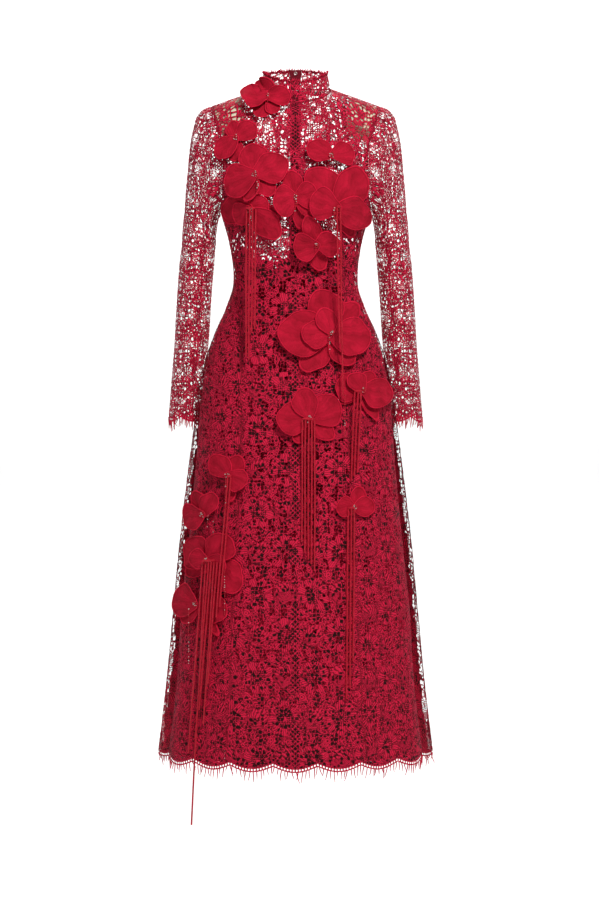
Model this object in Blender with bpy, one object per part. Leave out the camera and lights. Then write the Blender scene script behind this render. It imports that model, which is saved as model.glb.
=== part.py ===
"""Lace ao dai tunic, standing open as on a wearer: lace panels, sleeves, collar, shoulder pads,
back zip, cloth flowers, hanging rouleau strands and eyelash edges. Metres, +Z up, front towards -Y.
The origin is the middle of the shoulder line, where the wearer carries the tunic."""

import math

import bmesh
import bpy
from mathutils import Vector
from mathutils.bvhtree import BVHTree

MM = 0.001
WALL = 1.5 * MM
SEAM_GAP = 0.3 * MM

# Body: heights measured from the shoulder line
ARMPIT_Z = -0.235
SLIT_TOP_Z = -0.415
FRONT_HEM_Z = -1.272
BACK_HEM_Z = -1.282
SHOULDER_ROUND = 0.05  # drop over which cloth turns over the shoulder
NECK_HALF = 0.069
NECK_CORNER_Z = 0.012
NECK_CENTRE_Y = 0.010
NECK_DEPTH = {"front": 0.065, "back": 0.055}
NECK_SLOPE = {"front": 0.57, "back": 0.18}
SHOULDER_TIP_X = 0.163
SHOULDER_TIP_Z = -0.022
SHOULDER_TIP_Y = 0.004
SIDE = {"front": -1.0, "back": 1.0}
CURVE_END = 0.97  # share of a section's half width past which the cloth goes on straight
CURVE_END_SLOPE = 1.5
TOP_BLEND = 6  # how late the rows above the armpit spread to the shoulder's width
SHOULDER_NORMAL = (0.34, 0.0, 0.94)
NORMAL_STEP = 0.01
SIDE_TURN = 0.02  # how much a side edge faces forwards or backwards

# Sections: height, half width of the curve, angle kept to each side, depth at the centre, fullness
FRONT_SECTIONS = (
    (0.020, 0.200, 54.6, 0.055, 0.85),
    (-0.020, 0.200, 54.6, 0.062, 0.85),
    (-0.070, 0.196, 49.0, 0.078, 0.85),
    (-0.120, 0.188, 48.1, 0.094, 0.85),
    (-0.170, 0.172, 54.5, 0.107, 0.85),
    (-0.210, 0.154, 67.8, 0.113, 0.85),
    (-0.235, 0.1445, 90.0, 0.115, 0.85),
    (-0.300, 0.1270, 90.0, 0.103, 0.85),
    (-0.367, 0.1210, 90.0, 0.094, 0.85),
    (-0.415, 0.1350, 90.0, 0.099, 0.85),
    (-0.460, 0.1540, 88.0, 0.106, 0.85),
    (-0.520, 0.1720, 86.0, 0.114, 0.85),
    (-0.600, 0.1850, 84.0, 0.122, 0.85),
    (-0.720, 0.1950, 82.0, 0.133, 0.85),
    (-0.860, 0.2090, 80.0, 0.147, 0.85),
    (-1.000, 0.2250, 78.0, 0.161, 0.85),
    (-1.140, 0.2350, 76.0, 0.174, 0.85),
    (-1.290, 0.2540, 75.0, 0.188, 0.85),
)
BACK_SECTIONS = (
    (0.030, 0.200, 54.6, 0.070, 0.90),
    (-0.020, 0.200, 54.6, 0.085, 0.90),
    (-0.070, 0.196, 49.0, 0.097, 0.90),
    (-0.120, 0.188, 48.1, 0.104, 0.90),
    (-0.170, 0.172, 54.5, 0.104, 0.90),
    (-0.210, 0.154, 67.8, 0.100, 0.90),
    (-0.235, 0.1445, 90.0, 0.097, 0.90),
    (-0.300, 0.1270, 90.0, 0.084, 0.90),
    (-0.367, 0.1210, 90.0, 0.076, 0.90),
    (-0.415, 0.1350, 90.0, 0.083, 1.00),
    (-0.460, 0.1560, 90.0, 0.095, 1.12),
    (-0.520, 0.1770, 89.0, 0.110, 1.25),
    (-0.600, 0.1920, 88.0, 0.120, 1.25),
    (-0.720, 0.2090, 86.0, 0.130, 1.25),
    (-0.860, 0.2270, 84.0, 0.139, 1.20),
    (-1.000, 0.2420, 82.0, 0.147, 1.10),
    (-1.140, 0.2570, 80.0, 0.155, 1.10),
    (-1.290, 0.2760, 79.0, 0.163, 1.10),
)
SECTIONS = {"front": FRONT_SECTIONS, "back": BACK_SECTIONS}

# Bust: cups pressed out of the front
CUP_X = 0.074
CUP_Z = -0.225
CUP_OUT = 0.013
CUP_WIDE = 0.046
CUP_HIGH = 0.060

# Soft folds of the skirt
FOLD_TOP_Z = -0.55
FOLD_OUT = 0.007
FOLD_PITCH = 0.115

# Rows of every body panel: part of the way from the armpit up to the top edge, then metres below it
UPPER_ROWS = (1.0, 0.965, 0.88, 0.72, 0.54, 0.36, 0.18, 0.0)
LOWER_ROWS = (-0.050, -0.092, -0.132, -0.180, -0.230, -0.290, -0.365, -0.445, -0.530, -0.615,
              -0.700, -0.785, -0.870, -0.955)
NECK_SHARE = 0.37  # part of the half panel that lies inside the neck
HALF_COLUMNS = (0.0, 0.12, 0.25, NECK_SHARE, 0.58, 0.79, 1.0)
SIDE_COLUMNS = (0.0, 0.34, 0.67, 1.0)

# Princess seam: row, share of the half front that the centre panel keeps
PRINCESS_TOP_ROW = 0.36
PRINCESS = ((0.36, 0.955), (0.18, 0.640), (0.0, 0.450), (-0.055, 0.480), (-0.132, 0.545),
            (-0.225, 0.470), (-0.330, 0.405), (-0.600, 0.400), (-1.100, 0.425))
SEAM_TRIM = 0.001
SIDE_TOP_TRIM = 0.012

# Sleeve rings: outer x, outer z, inner x, inner z, half depth, middle y, dip into the armhole
SLEEVE_RINGS = (
    (0.1880, -0.0330, 0.1485, -0.2410, 0.066, 0.003, 0.012),
    (0.1985, -0.0600, 0.1495, -0.2430, 0.064, 0.004, 0.006),
    (0.2055, -0.0980, 0.1507, -0.2460, 0.061, 0.005, 0.000),
    (0.2126, -0.1660, 0.1525, -0.2560, 0.058, 0.008, 0.000),
    (0.2204, -0.2440, 0.1545, -0.2820, 0.054, 0.012, 0.000),
    (0.2265, -0.3150, 0.1590, -0.3250, 0.050, 0.018, 0.000),
    (0.2330, -0.3950, 0.1655, -0.3970, 0.048, 0.027, 0.000),
    (0.2380, -0.4700, 0.1700, -0.4700, 0.046, 0.036, 0.000),
    (0.2440, -0.5450, 0.1770, -0.5450, 0.044, 0.046, 0.000),
    (0.2510, -0.6190, 0.1845, -0.6190, 0.042, 0.055, 0.000),
)
SLEEVE_ROWS = (1.0, 0.88, 0.72, 0.36, 0.18, 0.0)
SLEEVE_SPLIT = 3  # the seam runs down from this armhole row
SLEEVE_GAP = 0.5 * MM

# Collar: height and lean of its top edge
COLLAR_TOP = {"front": (-0.051, 0.018), "back": (0.061, 0.062)}  # y, z at the centre
COLLAR_TOP_HALF = 0.0625
COLLAR_SIDE_Z = 0.045
COLLAR_ROWS = (0.0, 0.5, 1.0)
COLLAR_DIP = 1.5  # how late its top edge turns down towards the centre front

# Lace openings: a diamond in the middle of a cell
GAP_WIDE = 10 * MM
GAP_HIGH = 14 * MM
GAP_SHARE = 0.30  # most of a cell's side that half a diamond takes
FLOWER_CLEAR = 0.034
GAP_CELLS = {"front_centre": (7, 2), "front_side": (3, 1), "back": (5, 1)}  # one in so many, and the first
SLEEVE_GAP_CELLS = 3
COLLAR_GAP_CELLS = 3

# Cloth flowers: the lowest petal's distance from the lace, and the step to the next one
PETAL_BASE = 4.0 * MM
PETAL_STEP = 2.6 * MM
PETAL_WALL = 1.6 * MM
PETAL_ROOT = 4.0 * MM
PETAL_BRIDGE = 12 * MM  # a petal is too stiff to follow a hollow narrower than this
HUB_RADIUS = 3.2 * MM
HUB_SIDES = 5
HUB_TOP = 1.0 * MM
PETAL_TAPER = 0.28
SLOPE_STEP = 2 * MM
LEAST_DROP = 4 * MM  # flowers near the shoulder seam take the slope from this far below it
LEAST_FACING = 0.45
# Flower: x, z of its middle, then its petals: angle from +x, length, width, level
FLOWERS = {
    "collar": (-0.053, -0.026, (
        (88, 50, 35, 3), (14, 47, 46, 4), (173, 46, 44, 5), (238, 38, 36, 1), (302, 34, 28, 2))),
    "shoulder": (-0.110, -0.101, (
        (105, 35, 30, 1), (33, 44, 40, 2), (226, 46, 40, 3), (266, 44, 30, 0))),
    "left_bust": (-0.072, -0.178, (
        (96, 62, 50, 3), (24, 61, 58, 4), (196, 51, 60, 5), (256, 46, 26, 3), (312, 46, 38, 2))),
    "left_low": (-0.082, -0.237, (
        (172, 53, 48, 1), (202, 30, 40, 2), (22, 33, 38, 1), (340, 52, 34, 0), (318, 72, 44, 2))),
    "centre_bust": (0.001, -0.220, (
        (102, 54, 36, 1), (194, 42, 52, 5), (14, 42, 46, 3), (318, 46, 24, 2), (280, 54, 24, 0))),
    "right_high": (0.066, -0.141, (
        (156, 47, 44, 4), (14, 40, 44, 5))),
    "right_bust": (0.073, -0.236, (
        (120, 84, 60, 1), (57, 88, 54, 2), (165, 46, 50, 5), (350, 58, 56, 3), (305, 58, 26, 0))),
    "centre_low": (0.038, -0.303, (
        (106, 55, 34, 3), (12, 38, 48, 4), (190, 42, 52, 5), (278, 50, 30, 1))),
    "waist": (0.064, -0.474, (
        (181, 92, 86, 2), (101, 86, 62, 1), (50, 76, 48, 0), (349, 68, 70, 3), (186, 52, 52, 4),
        (112, 48, 38, 5), (236, 84, 50, 0), (302, 70, 42, 1))),
    "right_hip": (0.121, -0.581, (
        (166, 48, 54, 1), (126, 38, 34, 4), (62, 40, 34, 2), (351, 52, 56, 3), (300, 62, 24, 0),
        (206, 48, 24, 0))),
    "centre_hip": (0.025, -0.634, (
        (181, 57, 62, 2), (104, 57, 46, 3), (26, 64, 60, 1), (320, 58, 36, 0), (240, 52, 30, 0))),
    "right_low": (0.108, -0.801, (
        (176, 33, 38, 1), (70, 42, 28, 0), (4, 37, 38, 1))),
    "left_first": (-0.122, -0.741, (
        (130, 45, 42, 2), (56, 42, 34, 1), (334, 38, 42, 3), (275, 48, 22, 0))),
    "left_second": (-0.165, -0.816, (
        (66, 46, 34, 3), (112, 46, 32, 2), (196, 39, 48, 4))),
    "left_third": (-0.158, -0.900, (
        (154, 52, 64, 1), (182, 30, 38, 4), (214, 55, 30, 0), (46, 60, 52, 2), (330, 38, 42, 4),
        (318, 76, 60, 0))),
    "left_fourth": (-0.180, -0.985, (
        (170, 44, 62, 3), (232, 44, 32, 2), (350, 56, 58, 1), (306, 66, 20, 0))),
}
PETAL_POINTS = 10
BIG_PETAL = 62  # mm: a longer petal gets an inner ring of points

# Hanging strands of each flower: x at the top and at the end, from the flower's middle, and end height
STRAND_WIDE = 3.6 * MM
STRAND_STEP = 0.075
STRAND_REST = 4.0 * MM
HEAD_HIGH = 9 * MM
HEAD_DEEP = 4 * MM
HEAD_SAMPLES = 19  # places each way at which a head is tried against its flower
STRAND_SAMPLES = 8
STRAND_CLEAR_END = 9 * MM  # how far before a petal's end and side a strand starts to be pushed forwards
STRAND_CLEAR_SIDE = 6 * MM
STRANDS = {
    "left_low": (
        (-0.010, -0.011, -0.515), (-0.004, -0.0055, -0.522), (0.002, 0.000, -0.472),
        (0.008, 0.0055, -0.465)),
    "right_bust": (
        (0.005, 0.010, -0.492), (0.0115, 0.016, -0.590)),
    "right_hip": (
        (-0.009, -0.016, -0.750), (-0.003, -0.010, -0.742), (0.003, -0.004, -0.735)),
    "centre_hip": (
        (-0.0115, -0.013, -0.864), (-0.006, -0.0075, -0.884), (0.000, -0.001, -0.897),
        (0.006, 0.005, -0.905), (0.0115, 0.011, -0.918)),
    "right_low": (
        (-0.009, -0.013, -1.155), (-0.003, -0.0065, -1.135), (0.003, 0.000, -1.086)),
    "left_first": (
        (-0.005, -0.026, -1.005), (0.001, -0.019, -0.985)),
    "left_third": (
        (-0.016, -0.043, -1.262), (-0.0105, -0.037, -1.395), (-0.005, -0.030, -1.235),
        (0.0005, -0.022, -1.180), (0.006, -0.014, -1.205), (0.0115, -0.006, -1.130)),
}

# Eyelash edges: strip height at the cusps, scallop depth, lash length
EDGE_HIGH = 6 * MM
SCALLOP_DEEP = 11 * MM
LASH_LONG = 13 * MM
LASHES_PER_SCALLOP = 5
EDGE_TURN = 0.98  # an edge strip's ends face as the cloth does just inside them
FRONT_SCALLOPS = 7
BACK_SCALLOPS = 8
CUFF_SCALLOPS = 5

# Shoulder pads lie under the lace on the panels' own rows and columns
PAD_ROWS = 4
PAD_COLUMNS = (0.58, 0.79, 0.965)
PAD_THICK = (2.5 * MM, 6.0 * MM, 9.0 * MM)
PAD_EDGE = 1.6 * MM
PAD_GAP = 0.9 * MM

# Back zip
TAPE_WALL = 1.0 * MM
TAPE_SHARES = (0.003, 0.062)  # its two edges, on the half panel
SLIDER_WIDE = 7 * MM
SLIDER_HIGH = 9 * MM
SLIDER_DEEP = 2.2 * MM
SLIDER_HEIGHT = 0.80  # of the collar
BRIDGE_WIDE = 1.4 * MM
BRIDGE_HALF = 3.2 * MM
BRIDGE_INNER = 1.9 * MM  # from the slider's face
BRIDGE_DEEP = 1.2 * MM
AXIS_OUT = 1.0 * MM  # the pull's cross rail lies between the face and the bridge
RAIL_HALF = 0.5 * MM
PULL_HALF = 2.0 * MM
PULL_LONG = 20 * MM
WINDOW_HALF = 1.2 * MM
WINDOW_LOW = 5.2 * MM

# Materials: linear colour, roughness, metallic
MATERIALS = {
    "lace": ((0.33, 0.009, 0.030), 0.75, 0.0),
    "petal_cloth": ((0.42, 0.007, 0.026), 0.85, 0.0),
    "rouleau": ((0.36, 0.006, 0.020), 0.55, 0.0),
    "pad_cloth": ((0.62, 0.47, 0.33), 0.90, 0.0),
    "zip_tape": ((0.20, 0.006, 0.018), 0.80, 0.0),
    "zip_metal": ((0.22, 0.010, 0.022), 0.35, 0.3),
}


def new_material(name):
    colour, roughness, metallic = MATERIALS[name]
    material = bpy.data.materials.new(name)
    material.use_nodes = True
    shader = material.node_tree.nodes["Principled BSDF"]
    shader.inputs["Base Color"].default_value = (*colour, 1.0)
    shader.inputs["Roughness"].default_value = roughness
    shader.inputs["Metallic"].default_value = metallic
    return material


def add_object(name, mesh_edit, material):
    """A bmesh turned into a named object with its faces pointing out."""
    bmesh.ops.recalc_face_normals(mesh_edit, faces=mesh_edit.faces)
    mesh = bpy.data.meshes.new(name)
    mesh_edit.to_mesh(mesh)
    mesh_edit.free()
    mesh.materials.append(material)
    made = bpy.data.objects.new(name, mesh)
    bpy.context.collection.objects.link(made)
    return made


def smooth_row(table, at):
    """A table's row at a value of its falling first column, with smooth joins between rows."""
    at = min(max(at, table[-1][0]), table[0][0])
    last = len(table) - 2
    k = next((i for i in range(last + 1) if at >= table[i + 1][0]), last)
    before, start, end, after = table[max(k - 1, 0)], table[k], table[k + 1], table[min(k + 2, last + 1)]
    span = end[0] - start[0]
    t = (at - start[0]) / span
    row = []
    for column in range(1, len(start)):
        start_slope = (end[column] - before[column]) / (end[0] - before[0]) * span
        end_slope = (after[column] - start[column]) / (after[0] - start[0]) * span
        value = (2 * t**3 - 3 * t**2 + 1) * start[column] + (t**3 - 2 * t**2 + t) * start_slope
        value += (3 * t**2 - 2 * t**3) * end[column] + (t**3 - t**2) * end_slope
        row.append(value)
    return row


def top_edge(face, x):
    """(y, z) of the panel's top edge: the neckline inside the neck, else the shoulder seam."""
    across = abs(x)
    if across < NECK_HALF:
        reach = NECK_DEPTH[face] * math.sqrt(1 - (across / NECK_HALF) ** 2)
        y = NECK_CENTRE_Y + SIDE[face] * reach
        return y, NECK_CORNER_Z + NECK_SLOPE[face] * (y - NECK_CENTRE_Y)
    t = (across - NECK_HALF) / (SHOULDER_TIP_X - NECK_HALF)
    y = NECK_CENTRE_Y + (SHOULDER_TIP_Y - NECK_CENTRE_Y) * t
    return y, NECK_CORNER_Z + (SHOULDER_TIP_Z - NECK_CORNER_Z) * t


def cloth_y(face, x, z, section, least_drop=0.0):
    """Depth of the cloth at a place seen from the front. Past the curve it goes on straight."""
    curve_half, _, depth, fullness = section
    share = min(abs(x) / curve_half, CURVE_END)
    y = depth * (1 - share**2) ** (fullness / 2)
    y -= max(abs(x) - CURVE_END * curve_half, 0.0) * CURVE_END_SLOPE
    if face == "front":
        for cup_x in (-CUP_X, CUP_X):
            y += CUP_OUT * math.exp(-(((x - cup_x) / CUP_WIDE) ** 2) - ((z - CUP_Z) / CUP_HIGH) ** 2)
    if z < FOLD_TOP_Z:
        grown = (FOLD_TOP_Z - z) / (FOLD_TOP_Z - FRONT_HEM_Z)
        y += FOLD_OUT * grown * share**2 * math.cos(math.tau * abs(x) / FOLD_PITCH)
    y *= SIDE[face]
    top_y, top_z = top_edge(face, x)
    drop = max(top_z - z, least_drop)
    if drop < SHOULDER_ROUND:
        y = top_y + (y - top_y) * math.sqrt(1 - (1 - drop / SHOULDER_ROUND) ** 2)
    return y + SIDE[face] * SEAM_GAP / 2


def cloth(face, share, row):
    """Outer point of the body cloth. share runs from -1 to 1 across, row as in UPPER_ROWS and LOWER_ROWS."""
    top_angle = math.radians(SECTIONS[face][1][2])
    top_x = SHOULDER_TIP_X * math.sin(share * top_angle) / math.sin(top_angle)
    top_z = top_edge(face, top_x)[1]
    z = ARMPIT_Z + (top_z - ARMPIT_Z) * row if row > 0 else ARMPIT_Z + row
    section = smooth_row(SECTIONS[face], z)
    curve_half, angle, depth, fullness = section
    turned = share * math.radians(min(angle, 90.0))
    x = curve_half * math.sin(turned)
    if row > 0:
        x += (top_x - x) * row**TOP_BLEND
    if abs(x) > CURVE_END * curve_half:
        forward = math.cos(turned)
        y = SIDE[face] * (depth * math.copysign(abs(forward) ** fullness, forward) + SEAM_GAP / 2)
        return Vector((x, y, z))
    return Vector((x, cloth_y(face, x, z, section), z))


def cloth_normal(face, share, row):
    """Outward direction of the body cloth. Both sides of a seam share it."""
    if row == 1.0 and abs(share) > NECK_SHARE - NORMAL_STEP:
        across, forwards, up = SHOULDER_NORMAL
        return Vector((math.copysign(across, share), forwards, up))
    if abs(share) > 1 - NORMAL_STEP and row <= 0:
        return Vector((math.copysign(1.0, share), SIDE[face] * SIDE_TURN, 0)).normalized()
    if abs(share) > 1 - NORMAL_STEP:
        share = math.copysign(1 - 2 * NORMAL_STEP, share)
    low_row, high_row = row - NORMAL_STEP, min(row + NORMAL_STEP, 1 - NORMAL_STEP)
    across = cloth(face, share + NORMAL_STEP, row) - cloth(face, share - NORMAL_STEP, row)
    up = cloth(face, share, high_row) - cloth(face, share, low_row)
    normal = across.cross(up) if face == "front" else up.cross(across)
    return normal.normalized()


def wall(name, outer, inner, gaps, material):
    """A closed wall between two grids of points. gaps holds the (row, column) of cells cut through."""
    edit = bmesh.new()
    rows, columns = len(outer), len(outer[0])
    faces = [[[edit.verts.new(point) for point in line] for line in grid] for grid in (outer, inner)]
    for i in range(rows - 1):
        for j in range(columns - 1):
            rims = []
            for grid in faces:
                corners = [grid[i][j], grid[i][j + 1], grid[i + 1][j + 1], grid[i + 1][j]]
                if (i, j) not in gaps:
                    edit.faces.new(corners[:3])
                    edit.faces.new([corners[0], corners[2], corners[3]])
                    continue
                middle = sum((corner.co for corner in corners), Vector()) / 4
                rim = []
                for k in range(4):
                    edge = (corners[k].co + corners[(k + 1) % 4].co) / 2 - middle
                    most = (GAP_HIGH if k % 2 == 0 else GAP_WIDE) / 2
                    reach = min(most, 2 * GAP_SHARE * edge.length)
                    rim.append(edit.verts.new(middle + edge.normalized() * reach))
                for k in range(4):
                    edit.faces.new([corners[k], corners[(k + 1) % 4], rim[k]])
                    edit.faces.new([corners[(k + 1) % 4], rim[(k + 1) % 4], rim[k]])
                rims.append(rim)
            for k in range(4 if rims else 0):
                edit.faces.new([rims[0][k], rims[0][(k + 1) % 4], rims[1][(k + 1) % 4], rims[1][k]])
    out, back = faces
    around = [(0, j) for j in range(columns)] + [(i, columns - 1) for i in range(1, rows)]
    around += [(rows - 1, j) for j in range(columns - 2, -1, -1)] + [(i, 0) for i in range(rows - 2, 0, -1)]
    for (i, j), (k, m) in zip(around, around[1:] + around[:1]):
        edit.faces.new([out[i][j], out[k][m], back[k][m], back[i][j]])
    return add_object(name, edit, material)


def wall_grids(points, normals, thick=WALL, moved_in=0.0):
    outer = [[p - n * moved_in for p, n in zip(*lines)] for lines in zip(points, normals)]
    inner = [[p - n * (moved_in + thick) for p, n in zip(*lines)] for lines in zip(points, normals)]
    return outer, inner


def lace_gaps(points, every, first):
    """Cells that hold a lace opening: one of each few, staggered, keeping off the flowers' seats."""
    gaps = set()
    for i in range(1, len(points) - 2):
        for j in range(len(points[0]) - 1):
            middle = (points[i][j] + points[i + 1][j + 1]) / 2
            under_flower = middle.y < 0 and any(
                math.hypot(middle.x - x, middle.z - z) < FLOWER_CLEAR for x, z, _ in FLOWERS.values())
            if (j + first + i * (every - 1)) % every == 0 and not under_flower:
                gaps.add((i, j))
    return gaps


def hem_row(face):
    return (FRONT_HEM_Z if face == "front" else BACK_HEM_Z) - ARMPIT_Z


def princess_share(row):
    return smooth_row(PRINCESS, row)[0]


def body_panel(name, face, shares_of_row, rows, material):
    points = [[cloth(face, share, row) for share in shares_of_row(row)] for row in rows]
    normals = [[cloth_normal(face, share, row) for share in shares_of_row(row)] for row in rows]
    outer, inner = wall_grids(points, normals)
    every, first = next(cells for start, cells in GAP_CELLS.items() if name.startswith(start))
    return wall(name, outer, inner, lace_gaps(points, every, first), material)


def build_body(material):
    """Centre front with the shoulders, two side fronts below the armholes, and two backs."""
    rows = UPPER_ROWS + LOWER_ROWS
    columns = [-c for c in HALF_COLUMNS[:0:-1]] + list(HALF_COLUMNS)

    def centre_shares(row):
        kept = 1.0 if row > PRINCESS_TOP_ROW else princess_share(row) - SEAM_TRIM
        return [c * kept for c in columns]

    side_rows = tuple(row for row in rows if row <= PRINCESS_TOP_ROW)
    front_rows = rows + (hem_row("front"),)
    panels = [body_panel("front_centre", "front", centre_shares, front_rows, material)]
    for side, sign in (("left", -1), ("right", 1)):

        def side_shares(row, sign=sign):
            inner_share = princess_share(row) + SEAM_TRIM
            return [sign * (inner_share + (1 - inner_share) * c) for c in SIDE_COLUMNS]

        panel_rows = (PRINCESS_TOP_ROW - SIDE_TOP_TRIM,) + side_rows[1:] + (hem_row("front"),)
        panels.append(body_panel(f"front_side_{side}", "front", side_shares, panel_rows, material))
    for side, sign in (("left", -1), ("right", 1)):

        def back_shares(row, sign=sign):
            return [sign * max(c, SEAM_TRIM) for c in HALF_COLUMNS]

        body_panel(f"back_{side}", "back", back_shares, rows + (hem_row("back"),), material)
    return panels


def neckline(side):
    """Shares and faces of the neckline's points from the centre back round one side to the centre front."""
    inside = [c for c in HALF_COLUMNS if c <= NECK_SHARE]
    return ([("back", side * max(c, 2 * SEAM_TRIM)) for c in inside]
            + [("front", side * c) for c in reversed(inside[:-1])])


def collar_point(face, share, height):
    """Outer point of the stand collar, from the neckline at height 0 to its top edge at 1."""
    base = cloth(face, share, 1.0)
    turned = share / NECK_SHARE * math.pi / 2
    top_y, top_z = COLLAR_TOP[face]
    facing = max(math.cos(turned), 0.0)
    top = Vector((COLLAR_TOP_HALF * math.sin(turned), NECK_CENTRE_Y + (top_y - NECK_CENTRE_Y) * facing,
                  COLLAR_SIDE_Z + (top_z - COLLAR_SIDE_Z) * facing**COLLAR_DIP))
    base.z += SEAM_GAP
    return base.lerp(top, height)


def build_collar(material):
    """One standing band from zip to zip."""
    places = neckline(-1) + neckline(1)[-2::-1]
    points, normals = [], []
    for height in reversed(COLLAR_ROWS):
        line = [collar_point(face, share, height) for face, share in places]
        points.append(line)
        normals.append([Vector((p.x, p.y - NECK_CENTRE_Y, 0)).normalized() for p in line])
    outer, inner = wall_grids(points, normals)
    gaps = {(1, j) for j in range(0, len(places) - 1, COLLAR_GAP_CELLS)}
    return wall("collar", outer, inner, gaps, material)


def sleeve_point(side, ring, place):
    """Outer point of a sleeve. ring 0 is the armhole, place counts round it from the shoulder tip."""
    face = "front" if place >= 0 else "back"
    row = SLEEVE_ROWS[abs(place)]
    if ring == 0:
        point = cloth(face, 1.0, row) + Vector((SLEEVE_GAP, 0, 0))
        if row in (0.0, 1.0):
            point.y = cloth("front", 1.0, row).y + SEAM_GAP / 2
    else:
        outer_x, outer_z, inner_x, inner_z, half_depth, middle_y, dip = SLEEVE_RINGS[ring - 1]
        turned = math.acos(2 * row - 1)
        outwards = (1 + math.cos(turned)) / 2
        point = Vector((inner_x + (outer_x - inner_x) * outwards - dip * math.sin(turned) ** 2,
                        middle_y + SIDE[face] * half_depth * math.sin(turned),
                        inner_z + (outer_z - inner_z) * outwards))
    return Vector((side * point.x, point.y, point.z))


def sleeve_normal(side, ring, place):
    """Outward direction: away from the line through the middles of the rings."""
    last = len(SLEEVE_ROWS) - 1
    whole = [sleeve_point(side, ring, k) for k in range(-last + 1, last + 1)]
    middle = sum(whole, Vector()) / len(whole)
    lower = sleeve_point(side, min(ring + 1, len(SLEEVE_RINGS)), place)
    along = lower - sleeve_point(side, max(ring - 1, 0), place)
    before = sleeve_point(side, ring, place - 1 if place > -last else last - 1)
    after = sleeve_point(side, ring, place + 1 if place < last else -last + 1)
    normal = along.cross(after - before).normalized()
    return normal if normal.dot(sleeve_point(side, ring, place) - middle) > 0 else -normal


def build_sleeves(material):
    """Each sleeve is a top and an under piece, seamed down the front and the back."""
    last = len(SLEEVE_ROWS) - 1
    top_places = list(range(-SLEEVE_SPLIT, SLEEVE_SPLIT + 1))
    under_places = list(range(SLEEVE_SPLIT, last + 1)) + list(range(-last + 1, -SLEEVE_SPLIT + 1))
    for side_name, side in (("left", -1), ("right", 1)):
        for piece, places in (("top", top_places), ("under", under_places)):
            points, normals = [], []
            for ring in range(len(SLEEVE_RINGS) + 1):
                line = [sleeve_point(side, ring, place) for place in places]
                for end, neighbour in ((0, 1), (-1, -2)):
                    inwards = (line[neighbour] - line[end]).normalized()
                    line[end] = line[end] + inwards * SEAM_GAP / 2
                points.append(line)
                normals.append([sleeve_normal(side, ring, place) for place in places])
            outer, inner = wall_grids(points, normals)
            cells = [(i, j) for i in range(2, len(points) - 1) for j in range(len(places) - 1)]
            gaps = {(i, j) for i, j in cells if (i + 2 * j) % SLEEVE_GAP_CELLS == 0}
            wall(f"sleeve_{side_name}_{piece}", outer, inner, gaps, material)


def on_panel(face, side, share, row):
    """Point and outward direction on a panel's flat facet, between the two columns beside a share."""
    k = next(i for i in range(len(HALF_COLUMNS) - 1) if share <= HALF_COLUMNS[i + 1])
    start, end = (side * max(c, SEAM_TRIM) for c in HALF_COLUMNS[k:k + 2])
    t = (share - HALF_COLUMNS[k]) / (HALF_COLUMNS[k + 1] - HALF_COLUMNS[k])
    point = cloth(face, start, row).lerp(cloth(face, end, row), t)
    return point, cloth_normal(face, start, row).lerp(cloth_normal(face, end, row), t).normalized()


def build_shoulder_pads(material):
    """A pad under each shoulder, folded over the shoulder seam on the panels' own rows and columns."""
    fold = list(reversed(UPPER_ROWS[1:PAD_ROWS])) + [1.0] + list(UPPER_ROWS[1:PAD_ROWS])
    for side_name, side in (("left", -1), ("right", 1)):
        outer, inner = [], []
        for k, row in enumerate(fold):
            face = "front" if k < len(fold) // 2 else "back"
            edge = k in (0, len(fold) - 1)
            top, under = [], []
            for share, thick in zip(PAD_COLUMNS, PAD_THICK):
                point, normal = on_panel(face, side, share, row)
                if row == 1.0:
                    point.y -= SEAM_GAP / 2
                top.append(point - normal * (WALL + PAD_GAP))
                under.append(point - normal * (WALL + PAD_GAP + (PAD_EDGE if edge else thick)))
            outer.append(top)
            inner.append(under)
        wall(f"shoulder_pad_{side_name}", outer, inner, set(), material)


def box(edit, low, high):
    middle, size = (low + high) / 2, high - low
    for vert in bmesh.ops.create_cube(edit, size=1.0)["verts"]:
        vert.co = middle + vert.co * size


def hidden_box(name, low, high):
    """A helper block for a Boolean."""
    edit = bmesh.new()
    box(edit, low, high)
    helper = add_object(name, edit, bpy.data.materials["zip_metal"])
    helper.hide_render = True
    helper.display_type = "WIRE"
    return helper


def join(target, helper, operation):
    modifier = target.modifiers.new(helper.name, "BOOLEAN")
    modifier.operation = operation
    modifier.solver = "EXACT"
    modifier.object = helper


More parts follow.
